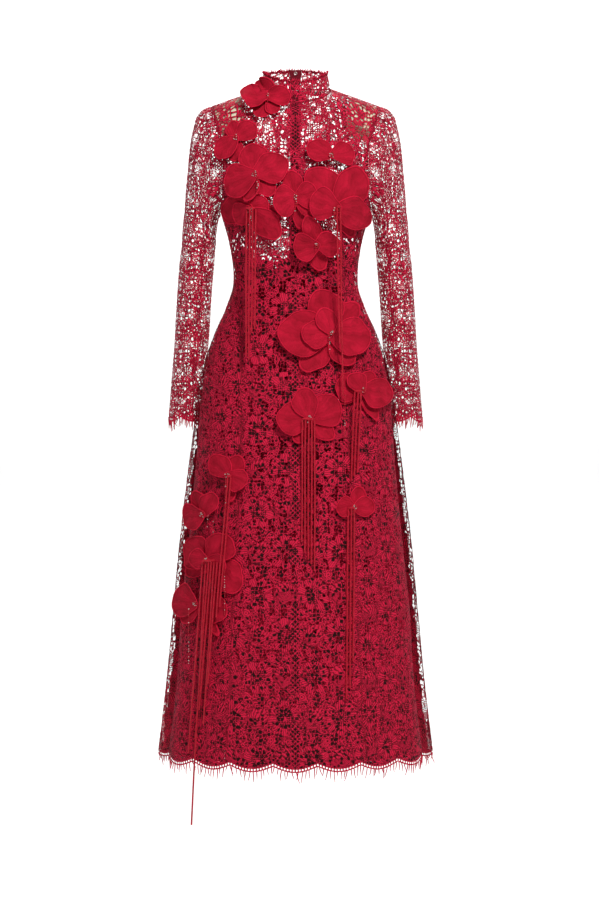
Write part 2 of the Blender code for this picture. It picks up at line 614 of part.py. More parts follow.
def build_zip(tape_material, metal):
    """Two tapes inside the centre back seam, and a slider with a hinged pull at the collar's top."""
    rows = [row for row in UPPER_ROWS + LOWER_ROWS if row >= SLIT_TOP_Z - ARMPIT_Z]
    for side_name, side in (("left", -1), ("right", 1)):
        places = [[on_panel("back", side, share, row) for share in TAPE_SHARES] for row in rows]
        points, normals = ([[place[k] for place in line] for line in places] for k in (0, 1))
        outer, inner = wall_grids(points, normals, TAPE_WALL, WALL + PAD_GAP)
        wall(f"zip_tape_{side_name}", outer, inner, set(), tape_material)

    foot, head = (collar_point("back", 2 * SEAM_TRIM, height) for height in (0.0, 1.0))
    seat_z = foot.lerp(head, SLIDER_HEIGHT).z
    slider_low = SLIDER_HEIGHT - SLIDER_HIGH / 2 / (head.z - foot.z)
    seat_y = foot.lerp(head, slider_low).y + SEAM_GAP
    face_y = seat_y + SLIDER_DEEP
    edit = bmesh.new()
    box(edit, Vector((-SLIDER_WIDE / 2, seat_y, seat_z - SLIDER_HIGH / 2)),
        Vector((SLIDER_WIDE / 2, face_y, seat_z + SLIDER_HIGH / 2)))
    slider = add_object("zip_slider", edit, metal)
    bridge = hidden_box("bridge", Vector((-BRIDGE_WIDE / 2, face_y - SLIDER_DEEP / 2, seat_z - BRIDGE_HALF)),
                        Vector((BRIDGE_WIDE / 2, face_y + BRIDGE_INNER + BRIDGE_DEEP, seat_z + BRIDGE_HALF)))
    under = hidden_box("under_bridge", Vector((-BRIDGE_WIDE, face_y, seat_z - BRIDGE_HALF + BRIDGE_DEEP)),
                       Vector((BRIDGE_WIDE, face_y + BRIDGE_INNER, seat_z + BRIDGE_HALF - BRIDGE_DEEP)))
    join(bridge, under, "DIFFERENCE")
    join(slider, bridge, "UNION")

    edit = bmesh.new()
    box(edit, Vector((-PULL_HALF, -RAIL_HALF, -PULL_LONG)), Vector((PULL_HALF, RAIL_HALF, RAIL_HALF)))
    pull = add_object("zip_pull", edit, metal)
    pull.location = (0, face_y + AXIS_OUT, seat_z)
    window = hidden_box("pull_window", Vector((-WINDOW_HALF, -2 * RAIL_HALF, -WINDOW_LOW)),
                        Vector((WINDOW_HALF, 2 * RAIL_HALF, -RAIL_HALF)))
    window.parent = pull
    join(pull, window, "DIFFERENCE")


def front_place(x, z, out):
    """A point a distance out from the front cloth, at a place seen from the front."""
    def depth(at_x, at_z):
        total = 0.0
        for near_x in (at_x - PETAL_BRIDGE, at_x, at_x + PETAL_BRIDGE):
            for near_z in (at_z - PETAL_BRIDGE, at_z, at_z + PETAL_BRIDGE):
                section = smooth_row(FRONT_SECTIONS, near_z)
                total += cloth_y("front", near_x, near_z, section, least_drop=LEAST_DROP)
        return total / 9

    y = depth(x, z)
    slope_x = (depth(x + SLOPE_STEP, z) - depth(x - SLOPE_STEP, z)) / (2 * SLOPE_STEP)
    slope_z = (depth(x, z + SLOPE_STEP) - depth(x, z - SLOPE_STEP)) / (2 * SLOPE_STEP)
    normal = Vector((slope_x, -1.0, slope_z)).normalized()
    return Vector((x, y, z)) + normal * out, normal


def front_depth(x, z, out):
    """The y that keeps a point at x and z this far out from the front cloth."""
    base, normal = front_place(x, z, 0.0)
    return base.y - out / max(-normal.y, LEAST_FACING)


def petal_outline(flower, petal, inset):
    """Places of a petal's rim, or of a ring inside it, as seen from the front."""
    middle_x, middle_z, _ = FLOWERS[flower]
    angle, length, width, _ = petal
    turn = math.radians(angle)
    reach = length * MM + PETAL_ROOT
    places = []
    for k in range(PETAL_POINTS):
        round_it = math.tau * k / PETAL_POINTS
        along = -PETAL_ROOT + reach / 2 * (1 - math.cos(round_it) * inset)
        across = width * MM / 2 * inset * math.sin(round_it) * (1 - PETAL_TAPER * math.cos(round_it))
        places.append((middle_x + along * math.cos(turn) - across * math.sin(turn),
                       middle_z + along * math.sin(turn) + across * math.cos(turn)))
    return places


def petal_mesh(flower, petal):
    """One petal: a closed plate that follows the cloth under it."""
    level = petal[3]
    edit = bmesh.new()
    rings = (1.0, 0.5) if max(petal[1], petal[2]) > BIG_PETAL else (1.0,)
    skins = []
    for out in (PETAL_BASE + level * PETAL_STEP + PETAL_WALL, PETAL_BASE + level * PETAL_STEP):
        loops = []
        for inset in rings:
            places = petal_outline(flower, petal, inset)
            loops.append([edit.verts.new(front_place(x, z, out)[0]) for x, z in places])
        inner_places = petal_outline(flower, petal, rings[-1] / 2)
        centre_x, centre_z = [sum(values) / PETAL_POINTS for values in zip(*inner_places)]
        centre = edit.verts.new(front_place(centre_x, centre_z, out)[0])
        for k in range(PETAL_POINTS):
            following = (k + 1) % PETAL_POINTS
            for wide, narrow in zip(loops, loops[1:]):
                edit.faces.new([wide[k], wide[following], narrow[following]])
                edit.faces.new([wide[k], narrow[following], narrow[k]])
            edit.faces.new([loops[-1][k], loops[-1][following], centre])
        skins.append(loops[0])
    for k in range(PETAL_POINTS):
        following = (k + 1) % PETAL_POINTS
        edit.faces.new([skins[0][k], skins[0][following], skins[1][following], skins[1][k]])
    return edit


def hub_mesh(flower, seats):
    """The stitched middle of a flower, from just off the lace to above its top petal."""
    x, z, petals = FLOWERS[flower]
    top = hub_out(petals)
    low = PETAL_BASE + min(petal[3] for petal in petals) * PETAL_STEP + PETAL_WALL / 2
    middle, normal = front_place(x, z, 0.0)
    across = normal.cross(Vector((0, 0, 1))).normalized()
    upwards = across.cross(normal).normalized()
    drops = []
    for k in range(HUB_SIDES):
        turn = math.tau * k / HUB_SIDES
        rim = middle + (across * math.cos(turn) + upwards * math.sin(turn)) * HUB_RADIUS
        hits = [seat.ray_cast(rim + normal * low, -normal)[3] for seat in seats]
        drops += [low - hit for hit in hits if hit is not None]
    base = max(drops) + SEAM_GAP if drops else 0.0
    edit = bmesh.new()
    rings = []
    for out in (base, top):
        ring = []
        for k in range(HUB_SIDES):
            turn = math.tau * k / HUB_SIDES
            away = (across * math.cos(turn) + upwards * math.sin(turn)) * HUB_RADIUS
            ring.append(edit.verts.new(middle + normal * out + away))
        edit.faces.new(ring)
        rings.append(ring)
    for k in range(HUB_SIDES):
        following = (k + 1) % HUB_SIDES
        edit.faces.new([rings[0][k], rings[0][following], rings[1][following], rings[1][k]])
    return edit


def build_flowers(seats, material):
    """Every flower is a hub with its petals joined on at their own levels."""
    for flower, (_, _, petals) in FLOWERS.items():
        hub = add_object(f"flower_{flower}", hub_mesh(flower, seats), material)
        for k, petal in enumerate(petals):
            helper = add_object(f"petal_{flower}_{k}", petal_mesh(flower, petal), material)
            helper.hide_render = True
            helper.display_type = "WIRE"
            join(hub, helper, "UNION")


def hub_out(petals):
    """How far a flower's hub stands out from the cloth."""
    return PETAL_BASE + max(petal[3] for petal in petals) * PETAL_STEP + PETAL_WALL + HUB_TOP


def flower_out(x, z):
    """How far the flowers stand out from the cloth at a place, or the rest of a strand on bare lace."""
    out = STRAND_REST
    for middle_x, middle_z, petals in FLOWERS.values():
        for angle, length, width, level in petals:
            turn = math.radians(angle)
            along = (x - middle_x) * math.cos(turn) + (z - middle_z) * math.sin(turn)
            across = (z - middle_z) * math.cos(turn) - (x - middle_x) * math.sin(turn)
            half = length * MM / 2
            half_wide = width * MM / 2 + STRAND_CLEAR_SIDE
            if math.hypot((along - half) / (half + STRAND_CLEAR_END), across / half_wide) < 1:
                out = max(out, PETAL_BASE + (level + 1) * PETAL_STEP + STRAND_WIDE / 2)
    return out


def strand_path(flower, strand):
    """A strand hangs straight down and is pushed forwards by whatever it lies on."""
    middle_x, middle_z, petals = FLOWERS[flower]
    start_dx, end_dx, end_z = strand
    start_z = middle_z - HEAD_HIGH / 4
    count = max(2, round((start_z - end_z) / STRAND_STEP))
    forward = front_depth(middle_x + start_dx, start_z, hub_out(petals) + SEAM_GAP + HEAD_DEEP / 2)
    needed = []
    last = count * STRAND_SAMPLES
    for k in range(last + 1):
        t = k / last
        x = middle_x + start_dx + (end_dx - start_dx) * t
        z = start_z + (end_z - start_z) * t
        forward = min(forward, front_depth(x, z, flower_out(x, z)))
        needed.append(forward)
    path = []
    for k in range(count + 1):
        t = k / count
        ahead = needed[min((k + 1) * STRAND_SAMPLES, last)] if k else needed[0]
        x = middle_x + start_dx + (end_dx - start_dx) * t
        path.append(Vector((x, ahead, start_z + (end_z - start_z) * t)))
    return path


def head_corners(flower, sides, out):
    """The four corners of a head's face, this far out from the cloth."""
    middle_z = FLOWERS[flower][1]
    heights = (middle_z - HEAD_HIGH / 2, middle_z + HEAD_HIGH / 2)
    return [Vector((x, front_depth(x, z, out), z)) for x in sides for z in heights]


def head_move(flower, back, tree):
    """How far back a head has to go to lie a seam's gap from its flower."""
    clear = []
    for i in range(HEAD_SAMPLES):
        for j in range(HEAD_SAMPLES):
            across, up = i / (HEAD_SAMPLES - 1), j / (HEAD_SAMPLES - 1)
            place = back[0].lerp(back[1], up).lerp(back[2].lerp(back[3], up), across)
            away = tree.ray_cast(place - Vector((0, HEAD_DEEP, 0)), Vector((0, 1, 0)))[3]
            if away is not None:
                clear.append(away - HEAD_DEEP)
    return min(clear) - SEAM_GAP


def build_strands(material):
    """One node for each flower's strands: a small head with the strands' roots in it."""
    half = STRAND_WIDE / 2
    graph = bpy.context.evaluated_depsgraph_get()
    for flower, strands in STRANDS.items():
        tree = BVHTree.FromObject(bpy.data.objects[f"flower_{flower}"], graph)
        paths = [strand_path(flower, strand) for strand in strands]
        sides = (min(path[0].x for path in paths) - half, max(path[0].x for path in paths) + half)
        back_out = hub_out(FLOWERS[flower][2]) + SEAM_GAP
        back = head_corners(flower, sides, back_out)
        front = head_corners(flower, sides, back_out + HEAD_DEEP)
        moved = Vector((0, head_move(flower, back, tree), 0))
        edit = bmesh.new()
        bmesh.ops.convex_hull(edit, input=[edit.verts.new(corner + moved) for corner in back + front])
        head = add_object(f"strands_{flower}", edit, material)
        for path in paths:
            edit = bmesh.new()
            rings = [[edit.verts.new(point + Vector((dx * half, dy * half, 0)))
                      for dx, dy in ((1, 0), (0, 1), (-1, 0), (0, -1))] for point in path]
            for upper, lower in zip(rings, rings[1:]):
                for k in range(4):
                    following = (k + 1) % 4
                    edit.faces.new([upper[k], upper[following], lower[following]])
                    edit.faces.new([upper[k], lower[following], lower[k]])
            edit.faces.new(rings[0])
            edit.faces.new(rings[-1])
            helper = add_object(f"strand_{flower}", edit, material)
            helper.hide_render = True
            helper.display_type = "WIRE"
            join(head, helper, "UNION")


def eyelash_edge(name, edge_point, edge_normal, scallops, closed, material):
    """A scalloped strip with a row of lashes. edge_point(t) runs along the cloth's edge, t from 0 to 1."""
    steps = scallops * LASHES_PER_SCALLOP * 2
    edit = bmesh.new()
    lines = []
    for k in range(steps if closed else steps + 1):
        t = k / steps
        point, normal = edge_point(t), edge_normal(t)
        deep = EDGE_HIGH + SCALLOP_DEEP * math.sin(math.pi * (t * scallops % 1.0))
        low = point - Vector((0, 0, deep))
        lines.append([edit.verts.new(p) for p in (point, low, low - normal * WALL, point - normal * WALL)])
    spans = list(zip(lines, lines[1:]))
    if closed:
        spans.append((lines[-1], lines[0]))
    for k, (here, there) in enumerate(spans):
        for a in range(4):
            b = (a + 1) % 4
            if a == 1 and k % 2 == 0:
                corners = [here[1], there[1], there[2], here[2]]
                root = sum((vert.co for vert in corners), Vector()) / 4
                tip = edit.verts.new(root - Vector((0, 0, LASH_LONG)))
                for c in range(4):
                    edit.faces.new([corners[c], corners[(c + 1) % 4], tip])
                continue
            edit.faces.new([here[a], there[a], there[b]])
            edit.faces.new([here[a], there[b], here[b]])
    if not closed:
        edit.faces.new(lines[0])
        edit.faces.new(lines[-1])
    return add_object(name, edit, material)


def build_edges(material):
    """Eyelash edges parted from the hems and cuffs."""
    for face, scallops in (("front", FRONT_SCALLOPS), ("back", BACK_SCALLOPS)):
        row = hem_row(face)

        def hem_point(t, face=face, row=row):
            return cloth(face, 2 * t - 1, row) - Vector((0, 0, SEAM_GAP))

        def hem_normal(t, face=face, row=row):
            return cloth_normal(face, (2 * t - 1) * EDGE_TURN, row)

        eyelash_edge(f"hem_edge_{face}", hem_point, hem_normal, scallops, False, material)
    outer_x, cuff_z, inner_x, _, half_depth, middle_y, _ = SLEEVE_RINGS[-1]
    middle_x, half_width = (outer_x + inner_x) / 2, (outer_x - inner_x) / 2
    for side_name, side in (("left", -1), ("right", 1)):

        def cuff_point(t, side=side):
            turned = math.tau * t
            return Vector((side * (middle_x + half_width * math.cos(turned)),
                           middle_y + half_depth * math.sin(turned), cuff_z - SEAM_GAP))

        def cuff_normal(t, side=side):
            turned = math.tau * t
            across = side * half_depth * math.cos(turned)
            return Vector((across, half_width * math.sin(turned), 0)).normalized()

        eyelash_edge(f"cuff_edge_{side_name}", cuff_point, cuff_normal, CUFF_SCALLOPS, True, material)


def main():
    for old in list(bpy.data.objects):
        bpy.data.objects.remove(old, do_unlink=True)
    lace = new_material("lace")
    petal = new_material("petal_cloth")
    rouleau = new_material("rouleau")
    pad = new_material("pad_cloth")
    tape = new_material("zip_tape")
    metal = new_material("zip_metal")
    front_panels = build_body(lace)
    collar = build_collar(lace)
    build_sleeves(lace)
    build_shoulder_pads(pad)
    build_zip(tape, metal)
    bpy.context.view_layer.update()
    graph = bpy.context.evaluated_depsgraph_get()
    seats = [BVHTree.FromObject(panel, graph) for panel in front_panels + [collar]]
    build_flowers(seats, petal)
    bpy.context.view_layer.update()
    build_strands(rouleau)
    build_edges(lace)


main()
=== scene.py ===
import math

import bmesh
import bpy
import numpy as np
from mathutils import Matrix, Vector


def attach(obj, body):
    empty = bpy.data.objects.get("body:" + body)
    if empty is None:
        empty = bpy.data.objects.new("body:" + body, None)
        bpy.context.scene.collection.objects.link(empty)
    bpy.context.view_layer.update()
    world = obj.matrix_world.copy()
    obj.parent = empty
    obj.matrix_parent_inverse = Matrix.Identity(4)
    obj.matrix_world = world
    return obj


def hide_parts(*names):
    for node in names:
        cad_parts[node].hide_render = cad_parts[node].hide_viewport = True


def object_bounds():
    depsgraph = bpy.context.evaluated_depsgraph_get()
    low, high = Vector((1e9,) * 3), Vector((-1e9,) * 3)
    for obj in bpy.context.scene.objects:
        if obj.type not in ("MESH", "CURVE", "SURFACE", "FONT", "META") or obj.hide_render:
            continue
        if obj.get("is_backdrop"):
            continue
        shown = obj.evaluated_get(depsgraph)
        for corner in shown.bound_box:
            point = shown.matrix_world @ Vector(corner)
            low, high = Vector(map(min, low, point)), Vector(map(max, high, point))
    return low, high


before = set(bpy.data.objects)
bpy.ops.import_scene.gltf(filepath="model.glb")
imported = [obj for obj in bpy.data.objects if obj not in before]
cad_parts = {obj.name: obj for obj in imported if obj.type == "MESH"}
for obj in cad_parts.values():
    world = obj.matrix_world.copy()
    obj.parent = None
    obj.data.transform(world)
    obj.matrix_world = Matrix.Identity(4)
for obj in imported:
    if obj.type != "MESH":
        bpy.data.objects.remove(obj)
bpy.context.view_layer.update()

# Front panels: a centre front with both shoulders, and two side fronts that meet it at princess seams.
# They are cut from corded flower lace: raised blooms, roses and leaves on a ground of twisted bars.
# Narrow seams join them, and the lace lies in the form that the panels' cut gives it.

MM = 0.001  # the body is measured in metres, from the middle of the shoulder line
ARMPIT_Z = -0.235
HEM_Z = {"front": -1.272, "back": -1.282}
SIDE = {"front": -1.0, "back": 1.0}  # which way each cloth bulges along y
NECK_HALF = 0.069
NECK_CORNER_Z = 0.012
NECK_CENTRE_Y = 0.010
NECK_DEPTH = {"front": 0.065, "back": 0.055}
NECK_SLOPE = {"front": 0.57, "back": 0.18}
SHOULDER_TIP = (0.163, 0.004, -0.022)
SHOULDER_ROUND = 0.05
CURVE_END = 0.97  # share of a section's half width from which its depth falls off straight
CURVE_END_SLOPE = 1.5
TOP_BLEND = 6  # how late the rows take on the width of the shoulder seam
CUP_X, CUP_Z = 0.074, -0.225
CUP_OUT, CUP_WIDE, CUP_HIGH = 0.013, 0.046, 0.060
FOLD_TOP_Z = -0.55
FOLD_OUT = 0.007
FOLD_PITCH = 0.115

# Height, half width of the curve, angle kept to each side, depth at the centre, fullness
SECTIONS = {"front": (
    (0.020, 0.200, 54.6, 0.055, 0.85),
    (-0.020, 0.200, 54.6, 0.062, 0.85),
    (-0.070, 0.196, 49.0, 0.078, 0.85),
    (-0.120, 0.188, 48.1, 0.094, 0.85),
    (-0.170, 0.172, 54.5, 0.107, 0.85),
    (-0.210, 0.154, 67.8, 0.113, 0.85),
    (-0.235, 0.1445, 90.0, 0.115, 0.85),
    (-0.300, 0.1270, 90.0, 0.103, 0.85),
    (-0.367, 0.1210, 90.0, 0.094, 0.85),
    (-0.415, 0.1350, 90.0, 0.099, 0.85),
    (-0.460, 0.1540, 88.0, 0.106, 0.85),
    (-0.520, 0.1720, 86.0, 0.114, 0.85),
    (-0.600, 0.1850, 84.0, 0.122, 0.85),
    (-0.720, 0.1950, 82.0, 0.133, 0.85),
    (-0.860, 0.2090, 80.0, 0.147, 0.85),
    (-1.000, 0.2250, 78.0, 0.161, 0.85),
    (-1.140, 0.2350, 76.0, 0.174, 0.85),
    (-1.290, 0.2540, 75.0, 0.188, 0.85),
)}
# Princess seam: row, share of the half front that the centre panel keeps
PRINCESS = ((0.36, 0.955), (0.18, 0.640), (0.0, 0.450), (-0.055, 0.480), (-0.132, 0.545),
            (-0.225, 0.470), (-0.330, 0.405), (-0.600, 0.400), (-1.100, 0.425))
PRINCESS_TOP_ROW = 0.36
BEYOND = 1.04  # how far past a panel's edge its form is worked out, for a clean cut

# Soft creases pressed into the cloth: across, height, length, width, depth in metres, lean
CREASES = {"front": (
    (-0.085, -0.345, 0.060, 0.010, 0.0016, 0.45),
    (-0.060, -0.372, 0.048, 0.008, 0.0012, 0.75),
    (0.092, -0.335, 0.066, 0.011, 0.0015, -0.40),
    (0.070, -0.384, 0.044, 0.009, 0.0011, -0.85),
    (-0.100, -0.620, 0.210, 0.016, 0.0022, 0.04),
    (-0.045, -0.830, 0.300, 0.020, 0.0018, -0.03),
    (0.052, -0.940, 0.260, 0.018, 0.0020, 0.03),
    (0.105, -0.700, 0.180, 0.015, 0.0024, -0.05),
    (0.140, -1.060, 0.200, 0.019, 0.0023, 0.02),
    (-0.130, -1.120, 0.160, 0.017, 0.0020, 0.05),
    (-0.120, -0.140, 0.050, 0.009, 0.0014, -0.70),
    (0.125, -0.150, 0.056, 0.010, 0.0015, 0.65),
)}


def smooth_row(table, at):
    """The other columns of a table at values of its falling first column, with smooth joins."""
    rows = np.array(table)
    keys = rows[:, 0]
    at = np.clip(at, keys[-1], keys[0])
    k = np.clip(np.searchsorted(-keys, -at) - 1, 0, len(rows) - 2)
    before, start, end = rows[np.maximum(k - 1, 0)], rows[k], rows[k + 1]
    after = rows[np.minimum(k + 2, len(rows) - 1)]
    span = (end[..., 0] - start[..., 0])[..., None]
    t = (at - start[..., 0])[..., None] / span
    start_slope = (end - before) / (end[..., :1] - before[..., :1]) * span
    end_slope = (after - start) / (after[..., :1] - start[..., :1]) * span
    row = (2 * t**3 - 3 * t**2 + 1) * start + (t**3 - 2 * t**2 + t) * start_slope
    row += (3 * t**2 - 2 * t**3) * end + (t**3 - t**2) * end_slope
    return row[..., 1:]


def top_edge(face, x):
    """Depth and height of a panel's top edge: the neckline inside the neck, else the shoulder seam."""
    across = np.abs(x)
    reach = NECK_DEPTH[face] * np.sqrt(np.clip(1 - (across / NECK_HALF) ** 2, 0, 1))
    neck_y = NECK_CENTRE_Y + SIDE[face] * reach
    neck_z = NECK_CORNER_Z + NECK_SLOPE[face] * (neck_y - NECK_CENTRE_Y)
    tip_x, tip_y, tip_z = SHOULDER_TIP
    t = (across - NECK_HALF) / (tip_x - NECK_HALF)
    inside = across < NECK_HALF
    y = np.where(inside, neck_y, NECK_CENTRE_Y + (tip_y - NECK_CENTRE_Y) * t)
    return y, np.where(inside, neck_z, NECK_CORNER_Z + (tip_z - NECK_CORNER_Z) * t)


def cloth_y(face, x, z, section, least_drop=0.0):
    """Depth of the cloth at a place seen from the front."""
    curve_half, _, depth, fullness = np.moveaxis(section, -1, 0)
    share = np.minimum(np.abs(x) / curve_half, CURVE_END)
    y = depth * (1 - share**2) ** (fullness / 2)
    y = y - np.maximum(np.abs(x) - CURVE_END * curve_half, 0.0) * CURVE_END_SLOPE
    if face == "front":
        for cup_x in (-CUP_X, CUP_X):
            y = y + CUP_OUT * np.exp(-(((x - cup_x) / CUP_WIDE) ** 2) - ((z - CUP_Z) / CUP_HIGH) ** 2)
    grown = np.maximum(FOLD_TOP_Z - z, 0.0) / (FOLD_TOP_Z - HEM_Z["front"])
    y = y + FOLD_OUT * grown * share**2 * np.cos(math.tau * np.abs(x) / FOLD_PITCH)
    y = y * SIDE[face]
    top_y, top_z = top_edge(face, x)
    drop = np.clip(np.maximum(top_z - z, least_drop) / SHOULDER_ROUND, 0, 1)
    return top_y + (y - top_y) * np.sqrt(1 - (1 - drop) ** 2)


def cloth(face, share, row):
    """Points of the body cloth. share runs from -1 to 1 across, row from 1 at the top to 0 at the
    armpit, and below that it is metres under the armpit."""
    share, row = np.broadcast_arrays(np.asarray(share, float), np.asarray(row, float))
    top_angle = math.radians(SECTIONS[face][1][2])
    top_x = SHOULDER_TIP[0] * np.sin(share * top_angle) / math.sin(top_angle)
    top_z = top_edge(face, top_x)[1]
    z = np.where(row > 0, ARMPIT_Z + (top_z - ARMPIT_Z) * row, ARMPIT_Z + row)
    section = smooth_row(SECTIONS[face], z)
    curve_half, angle, depth, fullness = np.moveaxis(section, -1, 0)
    turned = share * np.radians(np.minimum(angle, 90.0))
    x = curve_half * np.sin(turned)
    x = x + np.where(row > 0, (top_x - x) * np.abs(row) ** TOP_BLEND, 0.0)
    forward = np.cos(turned)
    round_y = SIDE[face] * depth * np.sign(forward) * np.abs(forward) ** fullness
    y = np.where(np.abs(x) > CURVE_END * curve_half, round_y, cloth_y(face, x, z, section))
    return np.stack([x, y, z], axis=-1)


def crease_depth(face, points):
    """How far each point sinks into the pressed creases."""
    sunk = np.zeros(points.shape[:-1])
    for x, z, length, wide, deep, lean in CREASES[face]:
        up, across = points[..., 2] - z, points[..., 0] - x
        along = up * math.cos(lean) + across * math.sin(lean)
        aside = across * math.cos(lean) - up * math.sin(lean)
        wander = 0.35 * wide * np.sin(along / length * 5.0 + x * 40)
        ridge = np.exp(-(((aside + wander) / wide) ** 2))
        ridge = ridge - 0.6 * np.exp(-(((aside - 1.6 * wide) / wide) ** 2))
        sunk += deep * ridge * np.exp(-((along / length) ** 2) * 3)
    return sunk


def walk(points, axis=0):
    """Distance from its first point along each line of a grid, or along one line."""
    steps = np.linalg.norm(np.diff(points, axis=axis), axis=-1)
    return np.insert(steps.cumsum(axis=axis), 0, 0.0, axis=axis)


def outward(points, away):
    """Unit normals of a grid of points, turned to the side that away points to."""
    across, down = np.gradient(points, axis=1), np.gradient(points, axis=0)
    normals = np.cross(across, down)
    normals /= np.linalg.norm(normals, axis=-1, keepdims=True) + 1e-12
    flip = np.sign(np.sum(normals * away(points), axis=-1, keepdims=True))
    return normals * np.where(flip == 0, 1, flip)


# The lace's own sizes, all in millimetres
REPEAT_WIDE, REPEAT_HIGH = 104.0, 154.0
BLOOMS = ((25, 37, 33, 0.10), (79, 113, 31, 0.45))
ROSES = ((77, 35, 22, 0.0), (27, 112, 23, 1.3))
FLORETS = ((52, 74, 10, 0.2), (2, 76, 9, 0.9), (54, 150, 10, 0.5), (104, 6, 8, 0.0))
STEM_WAVE, STEM_HALF = 8.0, 1.3
RIB_PITCH = 4.0


def wrapped(u, v, x, y):
    """Place within the lace's repeat, counted from one motif's middle."""
    across = (u - x + REPEAT_WIDE / 2) % REPEAT_WIDE - REPEAT_WIDE / 2
    down = (v - y + REPEAT_HIGH / 2) % REPEAT_HIGH - REPEAT_HIGH / 2
    return across, down


def leaf_wreath(x, y, start, reaches, half, wide, lean):
    """Leaves thrown out round a motif's middle, each at its own reach."""
    turns = [start + math.tau * k / len(reaches) for k in range(len(reaches))]
    return [(x + reach * math.cos(turn), y + reach * math.sin(turn), half, wide, turn + lean)
            for reach, turn in zip(reaches, turns)]


def leaf_table():
    """Leaves thrown out round each bloom and rose, and in pairs up each stem: x, y, half length,
    half width, turn."""
    leaves = []
    for x, y, radius, start in BLOOMS:
        reaches = [radius + 8.0 + 1.5 * math.sin(5 * k) for k in range(9)]
        leaves += leaf_wreath(x, y, start, reaches, 11.5, 4.4, 0.75)
    for x, y, radius, start in ROSES:
        reaches = [radius + 8.5 + 1.5 * math.cos(3 * k) for k in range(7)]
        leaves += leaf_wreath(x, y, start, reaches, 12.5, 5.2, -0.55)
    for k in range(11):
        y = 7 + 14 * k
        side = 1 if k % 2 else -1
        x = 52 + STEM_WAVE * math.sin(math.tau * y / REPEAT_HIGH) + 6.5 * side
        leaves.append((x, y, 8.0, 3.2, math.pi / 2 - 0.8 * side))
    return leaves


LEAVES = leaf_table()


def lace_motifs(u, v):
    """Raised motifs at a place: distance inside the nearest edge, rib phase, tone, groove and piercing."""
    inside = np.full(u.shape, -30.0)
    rib, tone, groove, pierced = (np.zeros(u.shape) for _ in range(4))

    def lay(edge, new_rib, new_tone, new_groove, new_pierced):
        over = edge > inside
        for old, new in ((rib, new_rib), (tone, new_tone), (groove, new_groove), (pierced, new_pierced)):
            old[over] = np.broadcast_to(new, u.shape)[over]
        inside[over] = edge[over]

    def round_it(x, y, turn):
        across, down = wrapped(u, v, x, y)
        return np.hypot(across, down), np.arctan2(down, across) + turn

    across, down = wrapped(u, v, 52, 0)
    stem = STEM_HALF - np.abs(across - STEM_WAVE * np.sin(math.tau * (down % REPEAT_HIGH) / REPEAT_HIGH))
    lay(stem, down, 0.55, 0.0, 0.0)
    for x, y, half, wide, turn in LEAVES:
        across, down = wrapped(u, v, x, y)
        along = across * math.cos(turn) + down * math.sin(turn)
        aside = down * math.cos(turn) - across * math.sin(turn)
        edge = wide * (1 - (along / half) ** 2) - np.abs(aside)
        vein = np.exp(-((aside / 0.7) ** 2))
        lay(edge, 0.75 * along + np.abs(aside) * 1.1, 0.72, 0.7 * vein, 0.0)
    for x, y, radius, turn in FLORETS:
        reach, angle = round_it(x, y, turn)
        edge = radius * (0.62 + 0.38 * np.abs(np.cos(2.5 * angle))) - reach
        lay(edge, reach, 0.85, np.exp(-((reach / 2.0) ** 2)), 0.0)
    for x, y, radius, turn in ROSES:
        reach, angle = round_it(x, y, turn)
        edge = radius * (0.90 + 0.10 * np.cos(6 * angle)) - reach
        layer = reach + 1.6 * angle / math.pi + 1.4 * np.sin(3 * angle + reach / 4)
        fold = np.exp(-(((layer / 5.2 + 0.5) % 1.0 - 0.5) / 0.13) ** 2)
        lay(edge, angle * reach * 0.55 + reach * 0.6, 0.86, 0.85 * fold, 0.25 * fold)
    for x, y, radius, turn in BLOOMS:
        reach, angle = round_it(x, y, turn)
        petal = (angle / (math.pi / 4) + 0.5) % 1.0 - 0.5
        edge = radius * (0.80 + 0.20 * np.cos(math.pi * petal)) - reach
        split = np.exp(-(((0.5 - np.abs(petal)) * reach * 0.78 / 0.9) ** 2)) * (reach > 0.5 * radius)
        centre = np.clip((0.50 * radius - reach) / 1.5, 0, 1)
        centre = centre * np.clip((reach - 0.12 * radius) / 1.5, 0, 1)
        ring = np.exp(-(((reach - 0.52 * radius) / 1.1) ** 2))
        lay(edge, petal * reach * 0.78, 0.95 - 0.25 * centre + 0.05 * ring, split, centre)
    return inside, rib, tone, groove, pierced


def hashed(i, j, seed):
    """A fixed random number from 0 to 1 for each cell."""
    wave = np.sin(i * 127.1 + j * 311.7 + seed * 74.7) * 43758.5453
    return wave - np.floor(wave)


def ground_cells(u, v, pitch, seed):
    """Twisted bars between irregular cells: distance to the nearest bar's middle, and a number for
    each cell."""
    column, row = np.floor(u / pitch), np.floor(v / pitch)
    near = np.full(u.shape, np.inf)
    near_x, near_y, number = (np.zeros(u.shape) for _ in range(3))
    sites = []
    for di in (-1, 0, 1):
        for dj in (-1, 0, 1):
            i, j = column + di, row + dj
            x = (i + 0.15 + 0.7 * hashed(i, j, seed)) * pitch
            y = (j + 0.15 + 0.7 * hashed(i, j, seed + 1)) * pitch
            sites.append((x, y))
            away = np.hypot(x - u, y - v)
            closer = away < near
            near[closer], near_x[closer], near_y[closer] = away[closer], x[closer], y[closer]
            number[closer] = hashed(i, j, seed + 2)[closer]
    edge = np.full(u.shape, np.inf)
    for x, y in sites:
        gap_x, gap_y = x - near_x, y - near_y
        length = np.hypot(gap_x, gap_y)
        middle = ((near_x + x) / 2 - u) * gap_x + ((near_y + y) / 2 - v) * gap_y
        edge = np.where(length > 1e-6, np.minimum(edge, middle / np.maximum(length, 1e-6)), edge)
    return edge, number


